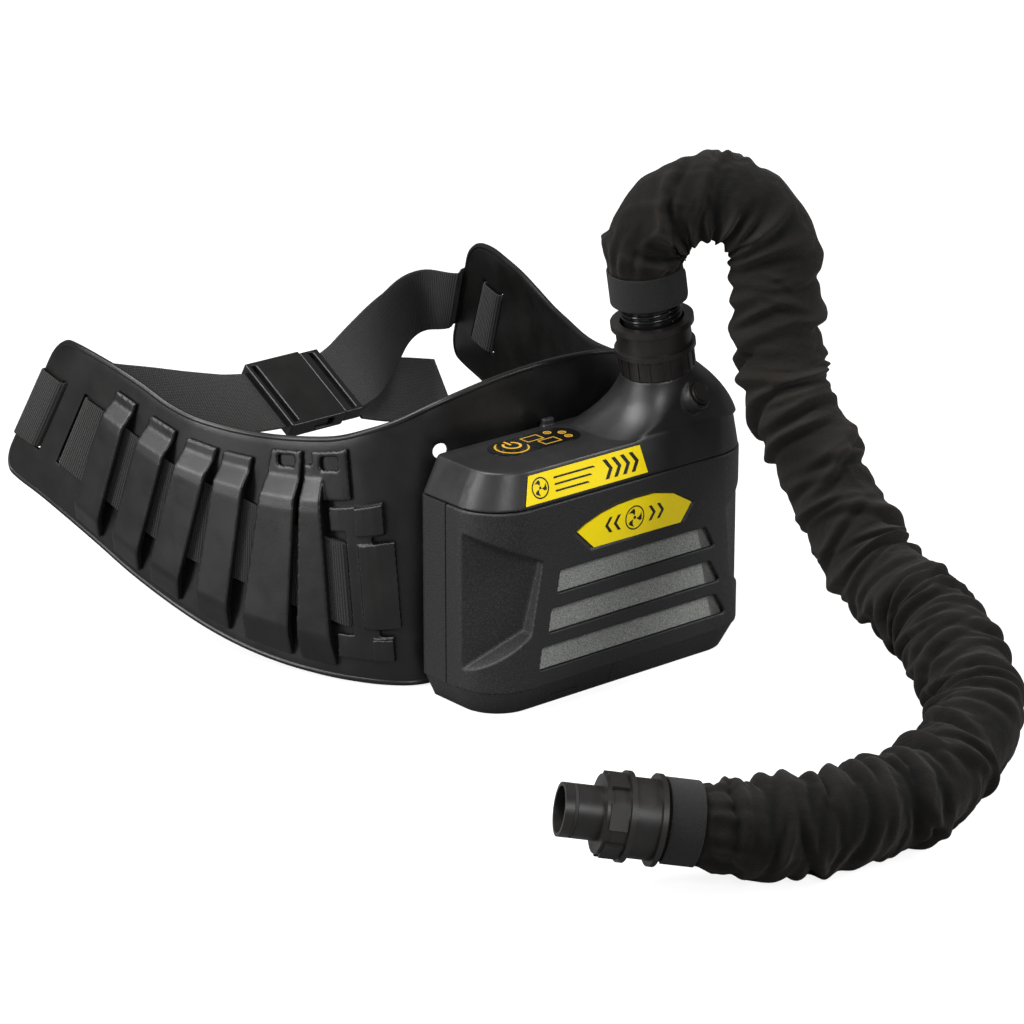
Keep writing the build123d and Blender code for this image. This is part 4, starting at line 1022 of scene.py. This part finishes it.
def patch(name, o, d, z0, z1, a0, a1, r_of, th, body, mat, na=60, nz=12, round_end=True):
    """Curved strap lying on a round body, from angle a0 to a1, rounded at the a1 end, with thickness."""
    o, d, x, y = ring_frame(o, d)
    verts, uvs, faces = [], [], []
    zc, hz = (z0 + z1) / 2, (z1 - z0) / 2
    ids = np.zeros((na + 1, nz + 1, 2), int)
    for i in range(na + 1):
        f = i / na
        a = a0 + (a1 - a0) * f
        end = (1 - f) * abs(a1 - a0) * 0.024
        h = hz if not round_end or end > 0.005 else hz - 0.005 + math.sqrt(max(0.005 ** 2 - (0.005 - end) ** 2, 0))
        for j in range(nz + 1):
            z = zc + h * (2 * j / nz - 1)
            e = x * math.cos(a) + y * math.sin(a)
            for s_ in (0, 1):
                verts.append(o + d * z + e * (r_of(f) + th * s_))
                uvs.append((z, a * 0.024))
                ids[i, j, s_] = len(verts) - 1
    for i in range(na):
        for j in range(nz):
            faces.append((ids[i, j, 1], ids[i, j + 1, 1], ids[i + 1, j + 1, 1], ids[i + 1, j, 1]))
            faces.append((ids[i, j, 0], ids[i + 1, j, 0], ids[i + 1, j + 1, 0], ids[i, j + 1, 0]))
    for i in range(na):
        faces.append((ids[i, 0, 0], ids[i, 0, 1], ids[i + 1, 0, 1], ids[i + 1, 0, 0]))
        faces.append((ids[i, nz, 0], ids[i + 1, nz, 0], ids[i + 1, nz, 1], ids[i, nz, 1]))
    for j in range(nz):
        faces.append((ids[0, j, 0], ids[0, j + 1, 0], ids[0, j + 1, 1], ids[0, j, 1]))
        faces.append((ids[na, j, 0], ids[na, j, 1], ids[na, j + 1, 1], ids[na, j + 1, 0]))
    ob = new_obj(name, verts, faces, uvs)
    bm = bmesh.new()
    bm.from_mesh(ob.data)
    bmesh.ops.recalc_face_normals(bm, faces=bm.faces)
    bm.to_mesh(ob.data)
    bm.free()
    bevel(ob, 0.0004, 2, 40)
    apply_mods(ob)
    smooth_by_angle(ob, 50)
    give(ob, mat)
    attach(ob, body)
    return ob


def band_profile(z0, z1, r0, r1, k=0.0007):
    return [(z0, r0), (z0, r1 - k), (z0 + k * 0.3, r1 - k * 0.3), (z0 + k, r1), ((z0 * 2 + z1) / 3, r1 + 0.00035), ((z0 + 2 * z1) / 3, r1 + 0.00035), (z1 - k, r1), (z1 - k * 0.3, r1 - k * 0.3), (z1, r1 - k), (z1, r0)]


def wavy(ph, az=0.0006, ar=0.0004):
    return lambda a: (az * math.sin(2 * a + ph) + az * 0.6 * math.sin(5 * a), ar * math.sin(3 * a + ph) + ar * 0.6 * math.sin(7 * a))


lathe("upper_band_ring", NECK, AX, band_profile(0.0480, 0.0694, 0.0215, 0.0232), "hose_upper", "band_fabric", wavy(0.4), replaces="upper_cuff_band")
patch("upper_band_flap", NECK, AX, 0.0479, 0.0695, math.radians(-150), math.radians(35), lambda f: 0.0236 + 0.0009 * max(0.0, (f - 0.72) / 0.28) ** 2, 0.0011, "hose_upper", "hook_fabric")
lathe("lower_band_ring", END, END_D, band_profile(0.0014, 0.0208, 0.0215, 0.0233), "hose_end", "band_fabric", wavy(1.7), replaces="lower_cuff_band")
patch("lower_band_flap", END, END_D, 0.0012, 0.0210, math.radians(-60), math.radians(125), lambda f: 0.0237 + 0.0010 * max(0.0, (f - 0.72) / 0.28) ** 2, 0.0011, "hose_end", "hook_fabric")
# rolled hems at both ends of the sleeve
lathe("upper_hem", NECK, AX, [(0.0472 + 0.0011 * math.cos(t), 0.0207 + 0.0011 * math.sin(t)) for t in np.linspace(0, 2 * math.pi, 12, endpoint=False)], "hose_upper", "sleeve_fabric", wavy(0.0, 0.0005, 0.0004))
lathe("lower_hem", END, END_D, [(0.0215 + 0.0007 * math.cos(t), 0.0208 + 0.0011 * math.sin(t)) for t in np.linspace(0, 2 * math.pi, 12, endpoint=False)], "hose_end", "sleeve_fabric", wavy(2.0, 0.0003, 0.0003))
# glossy spiral of the inner hose between the collar and the sleeve
hel = []
for k in range(0, 420):
    t = k / 419
    a = 2 * math.pi * 3.6 * t
    z = 0.0358 + 0.0120 * t
    o_, d_, x_, y_ = ring_frame(NECK, AX)
    hel.append(o_ + d_ * z + (x_ * math.cos(a) + y_ * math.sin(a)) * 0.0184)
spiral = tube_along(hel, 0.00105, "hose_spiral", 10)
give(spiral, "hose_gloss")
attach(spiral, "hose_upper")


# spring under the hose release button, between the button and the floor of its bore
REL = np.array([0.062, -0.0615, 0.177])
REL_D = np.array([0.24, -0.80, 0.55])
REL_D /= np.linalg.norm(REL_D)
o_, d_, x_, y_ = ring_frame(REL, REL_D)
coil = [o_ + d_ * (-0.00222 + 0.00134 * k / 199) + (x_ * math.cos(6 * math.pi * k / 199) + y_ * math.sin(6 * math.pi * k / 199)) * 0.0029 for k in range(200)]
sprung = tube_along(coil, 0.00022, "release_coil", 8)
give(sprung, "steel")
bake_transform(sprung)
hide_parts("release_spring")


# ------------------------------------------------------------------ rounded shells of the blower
def rounded_copy(node, voxel, smooth, mat, body):
    src = N[node]
    o = src.copy()
    o.data = src.data.copy()
    for k in list(o.keys()):
        if k.startswith("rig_"):
            del o[k]
    o.name = node + "_form"
    o.parent = None
    o.matrix_world = Matrix.Identity(4)
    o.modifiers.clear()
    bpy.context.scene.collection.objects.link(o)
    r = o.modifiers.new("remesh", "REMESH")
    r.mode, r.voxel_size, r.adaptivity = "VOXEL", voxel, 0.0
    s = o.modifiers.new("smooth", "SMOOTH")
    s.factor, s.iterations = 0.5, smooth
    apply_mods(o)
    o.data.polygons.foreach_set("use_smooth", [True] * len(o.data.polygons))
    give(o, mat)
    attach(o, body)
    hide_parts(node)
    return o


rounded_copy("upper_housing", 0.00085, 4, "shell_satin", BASE)
rounded_copy("filter_cover", 0.00080, 3, "cover_texture", "front_cover")
for side_ in ("left", "right"):
    rounded_copy(side_ + "_belt_bars", 0.00085, 9, "belt_plastic", BASE)
    rounded_copy(side_ + "_strap_anchor", 0.00065, 3, "belt_plastic", BASE)
rounded_copy("buckle_socket", 0.00075, 6, "belt_plastic", BASE)
rounded_copy("buckle_plug", 0.00075, 6, "belt_plastic", "buckle_insert")


# ------------------------------------------------------------------ printed marks, all generic
def marks(name, polys, org, x, n, h, mat, body):
    org, x, n = np.array(org, float), np.array(x, float), np.array(n, float)
    x /= np.linalg.norm(x)
    n /= np.linalg.norm(n)
    y = np.cross(n, x)
    verts, faces = [], []
    for P in polys:
        b = len(verts)
        k = len(P)
        for (u, v) in P:
            verts.append(org + x * u + y * v)
        for (u, v) in P:
            verts.append(org + x * u + y * v + n * h)
        faces.append(tuple(b + i for i in range(k))[::-1])
        faces.append(tuple(b + k + i for i in range(k)))
        for i in range(k):
            j = (i + 1) % k
            faces.append((b + i, b + j, b + k + j, b + k + i))
    o = new_obj(name, verts, faces)
    bm = bmesh.new()
    bm.from_mesh(o.data)
    bmesh.ops.triangulate(bm, faces=[f for f in bm.faces if len(f.verts) > 4])
    bmesh.ops.recalc_face_normals(bm, faces=bm.faces)
    bm.to_mesh(o.data)
    bm.free()
    smooth_by_angle(o, 30)
    give(o, mat)
    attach(o, body)
    return o


def arc(cx, cy, r0, r1, a0, a1, seg=32):
    t = np.radians(np.linspace(a0, a1, seg))
    return [(cx + r1 * math.cos(a), cy + r1 * math.sin(a)) for a in t] + [(cx + r0 * math.cos(a), cy + r0 * math.sin(a)) for a in t[::-1]]


def ring(cx, cy, r0, r1):
    return [arc(cx, cy, r0, r1, 0, 180), arc(cx, cy, r0, r1, 180, 360)]


def box2(x0, y0, x1, y1):
    return [(x0, y0), (x1, y0), (x1, y1), (x0, y1)]


def frame2(cx, cy, w, h, t):
    a, b = w / 2, h / 2
    return [box2(cx - a, cy - b, cx + a, cy - b + t), box2(cx - a, cy + b - t, cx + a, cy + b), box2(cx - a, cy - b + t, cx - a + t, cy + b - t), box2(cx + a - t, cy - b + t, cx + a, cy + b - t)]


def blades(cx, cy, r, n=3, ph=90):
    out = []
    for k in range(n):
        a0 = math.radians(ph + 360 * k / n)
        P = []
        for t in np.linspace(0, 1, 14):
            rr = r * (0.22 + 0.78 * t)
            P.append((cx + rr * math.cos(a0 + 0.15 + 0.85 * t), cy + rr * math.sin(a0 + 0.15 + 0.85 * t)))
        for t in np.linspace(1, 0, 14):
            rr = r * (0.22 + 0.78 * t)
            P.append((cx + rr * math.cos(a0 + 0.15 - 0.45 * t * (1 - t) * 2), cy + rr * math.sin(a0 + 0.15 - 0.45 * t * (1 - t) * 2)))
        out.append(P)
    return out + [arc(cx, cy, 0.0, r * 0.17, 0, 359, 20)[:20]]


def mm(polys):
    return [[(u / 1000, v / 1000) for u, v in P] for P in polys]


def chev(x, y, w, h, t):
    return [(x, y - h), (x + t, y - h), (x + t + w, y), (x + t, y + h), (x, y + h), (x + w, y)]


LAB = dict(org=np.array((-32.0, -64.55, 146.45)) / 1000 + np.array((0, -0.966, 0.2595)) * 0.0006, x=(1, 0, 0), n=(0, -0.966, 0.2595))
lab = blades(-37.5, 0, 5.2) + ring(-37.5, 0, 5.9, 6.8)
for k in range(3):
    lab.append([(-26, 4.6 - k * 4.2), (6 - k * 3.0, 4.6 - k * 4.2), (7.5 - k * 3.0, 3.4 - k * 4.2), (-26, 3.4 - k * 4.2)])
for k in range(4):
    lab.append(chev(14 + k * 7.2, 0, 4.2, 6.2, 3.0))
marks("label_marks", mm(lab), h=0.00012, mat="print_black", body=BASE, **LAB)
bd = blades(5.5, 110.6, 6.2) + ring(5.5, 110.6, 7.0, 7.9)
for k in range(2):
    bd.append([(x_, z_) for x_, z_ in chev(17 + k * 7.0, 110.6, 3.6, 5.0, 2.4)])
    bd.append([(11.0 - x_, z_) for x_, z_ in chev(17 + k * 7.0, 110.6, 3.6, 5.0, 2.4)][::-1])
marks("badge_marks", mm(bd), org=(0, -0.0679, 0), x=(1, 0, 0), n=(0, -1, 0), h=0.00012, mat="print_black", body="front_cover")
marks("power_symbol", mm([arc(-56, -22, 4.7, 6.3, 122, 418, 48), box2(-56.8, -21.0, -55.2, -14.2)]), org=(0, 0, 0.1596), x=(1, 0, 0), n=(0, 0, 1), h=0.0001, mat="print_gold", body="power_key")
marks("panel_frames", mm(frame2(-35.5, -17, 13.4, 8.4, 0.7) + frame2(-29.5, -27, 13.4, 8.4, 0.7) + ring(-21, -14.5, 2.0, 2.7) + ring(-13.5, -20, 2.0, 2.7) + ring(-14.5, -27.5, 2.0, 2.7) + ring(-56, -22, 9.9, 11.2)),
      org=(0, 0, 0.1583), x=(1, 0, 0), n=(0, 0, 1), h=0.0001, mat="print_gold", body=BASE)

# ------------------------------------------------------------------ floor, light, camera
floor_z = -0.0004
bpy.ops.mesh.primitive_plane_add(size=14, location=(0, 0, floor_z))
fl = bpy.context.object
fl.name = "floor"
fm = Mat("floor_paper", (0.90, 0.90, 0.90), 0.85)
fm.vary(fm.ramp(fm.noise(3.0, 3), 0.3, 0.7, 0, 1), (0.89, 0.89, 0.89), (0.92, 0.92, 0.92))
# the paper looks pale to the camera and throws little light back at the dark object
out_ = fm.t.nodes["Material Output"]
lp = fm.node("ShaderNodeLightPath")
dim = fm.node("ShaderNodeBsdfDiffuse")
dim.inputs["Color"].default_value = (0.22, 0.22, 0.22, 1)
em = fm.node("ShaderNodeEmission")
geo_ = fm.node("ShaderNodeNewGeometry")
far_ = fm.node("ShaderNodeVectorMath", operation="LENGTH")
fm.link(geo_.outputs["Position"], far_.inputs[0])
fm.link(fm.ramp(far_.outputs["Value"], 0.7, 1.9, 0.60, 1.02), em.inputs["Strength"])
addn = fm.node("ShaderNodeAddShader")
fm.link(fm.b.outputs[0], addn.inputs[0])
fm.link(em.outputs[0], addn.inputs[1])
clear = fm.node("ShaderNodeBsdfTransparent")
veil = fm.node("ShaderNodeMixShader")
veil.inputs[0].default_value = 0.62
fm.link(addn.outputs[0], veil.inputs[1])
fm.link(clear.outputs[0], veil.inputs[2])
half = fm.node("ShaderNodeMixShader")
fm.link(lp.outputs["Is Shadow Ray"], half.inputs[0])
fm.link(dim.outputs[0], half.inputs[1])
fm.link(clear.outputs[0], half.inputs[2])
mixn = fm.node("ShaderNodeMixShader")
fm.link(lp.outputs["Is Camera Ray"], mixn.inputs[0])
fm.link(half.outputs[0], mixn.inputs[1])
fm.link(veil.outputs[0], mixn.inputs[2])
fm.link(mixn.outputs[0], out_.inputs["Surface"])
fl.data.materials.append(fm.m)

sc = bpy.context.scene
w = sc.world or bpy.data.worlds.new("studio")
sc.world = w
w.use_nodes = True
bg = w.node_tree.nodes.get("Background")
bg.inputs["Color"].default_value = (1.0, 1.0, 1.0, 1)
lpw = w.node_tree.nodes.new("ShaderNodeLightPath")
mrw = w.node_tree.nodes.new("ShaderNodeMapRange")
mrw.inputs["To Min"].default_value = 0.20
mrw.inputs["To Max"].default_value = 1.0
w.node_tree.links.new(lpw.outputs["Is Camera Ray"], mrw.inputs["Value"])
w.node_tree.links.new(mrw.outputs[0], bg.inputs["Strength"])


def area(name, loc, target, size, power, sy=None):
    l = bpy.data.lights.new(name, "AREA")
    l.shape = "RECTANGLE"
    l.size, l.size_y = size, sy or size
    l.energy = power
    o = bpy.data.objects.new(name, l)
    o.location = loc
    o.rotation_mode = "QUATERNION"
    o.rotation_quaternion = (Vector(target) - Vector(loc)).to_track_quat("-Z", "Y")
    sc.collection.objects.link(o)
    return o


MID = (0.0, -0.05, 0.13)
area("key_top", (-0.6, 0.25, 1.5), MID, 1.0, 26)
area("left_strip", (-1.8, 0.5, 0.75), MID, 0.45, 22, 1.3)
area("right_soft", (1.2, -1.3, 1.05), MID, 0.8, 20)
area("front_fill", (-0.9, -2.1, 1.4), MID, 0.9, 24)

cam = bpy.data.cameras.new("camera")
cam.sensor_width = 36.0
cam.lens = 147.69
co_ = bpy.data.objects.new("camera", cam)
sc.collection.objects.link(co_)
co_.location = (-1.6334, -1.9027, 1.0103)
co_.rotation_mode = "QUATERNION"
co_.rotation_quaternion = (Vector((-0.066763, -0.035, 0.121954)) - Vector((-1.6334, -1.9027, 1.0103))).to_track_quat("-Z", "Y")
cam.clip_start, cam.clip_end = 0.05, 50
sc.camera = co_
sc.view_settings.view_transform = "Standard"
sc.view_settings.look = "None"

bpy.context.view_layer.update()
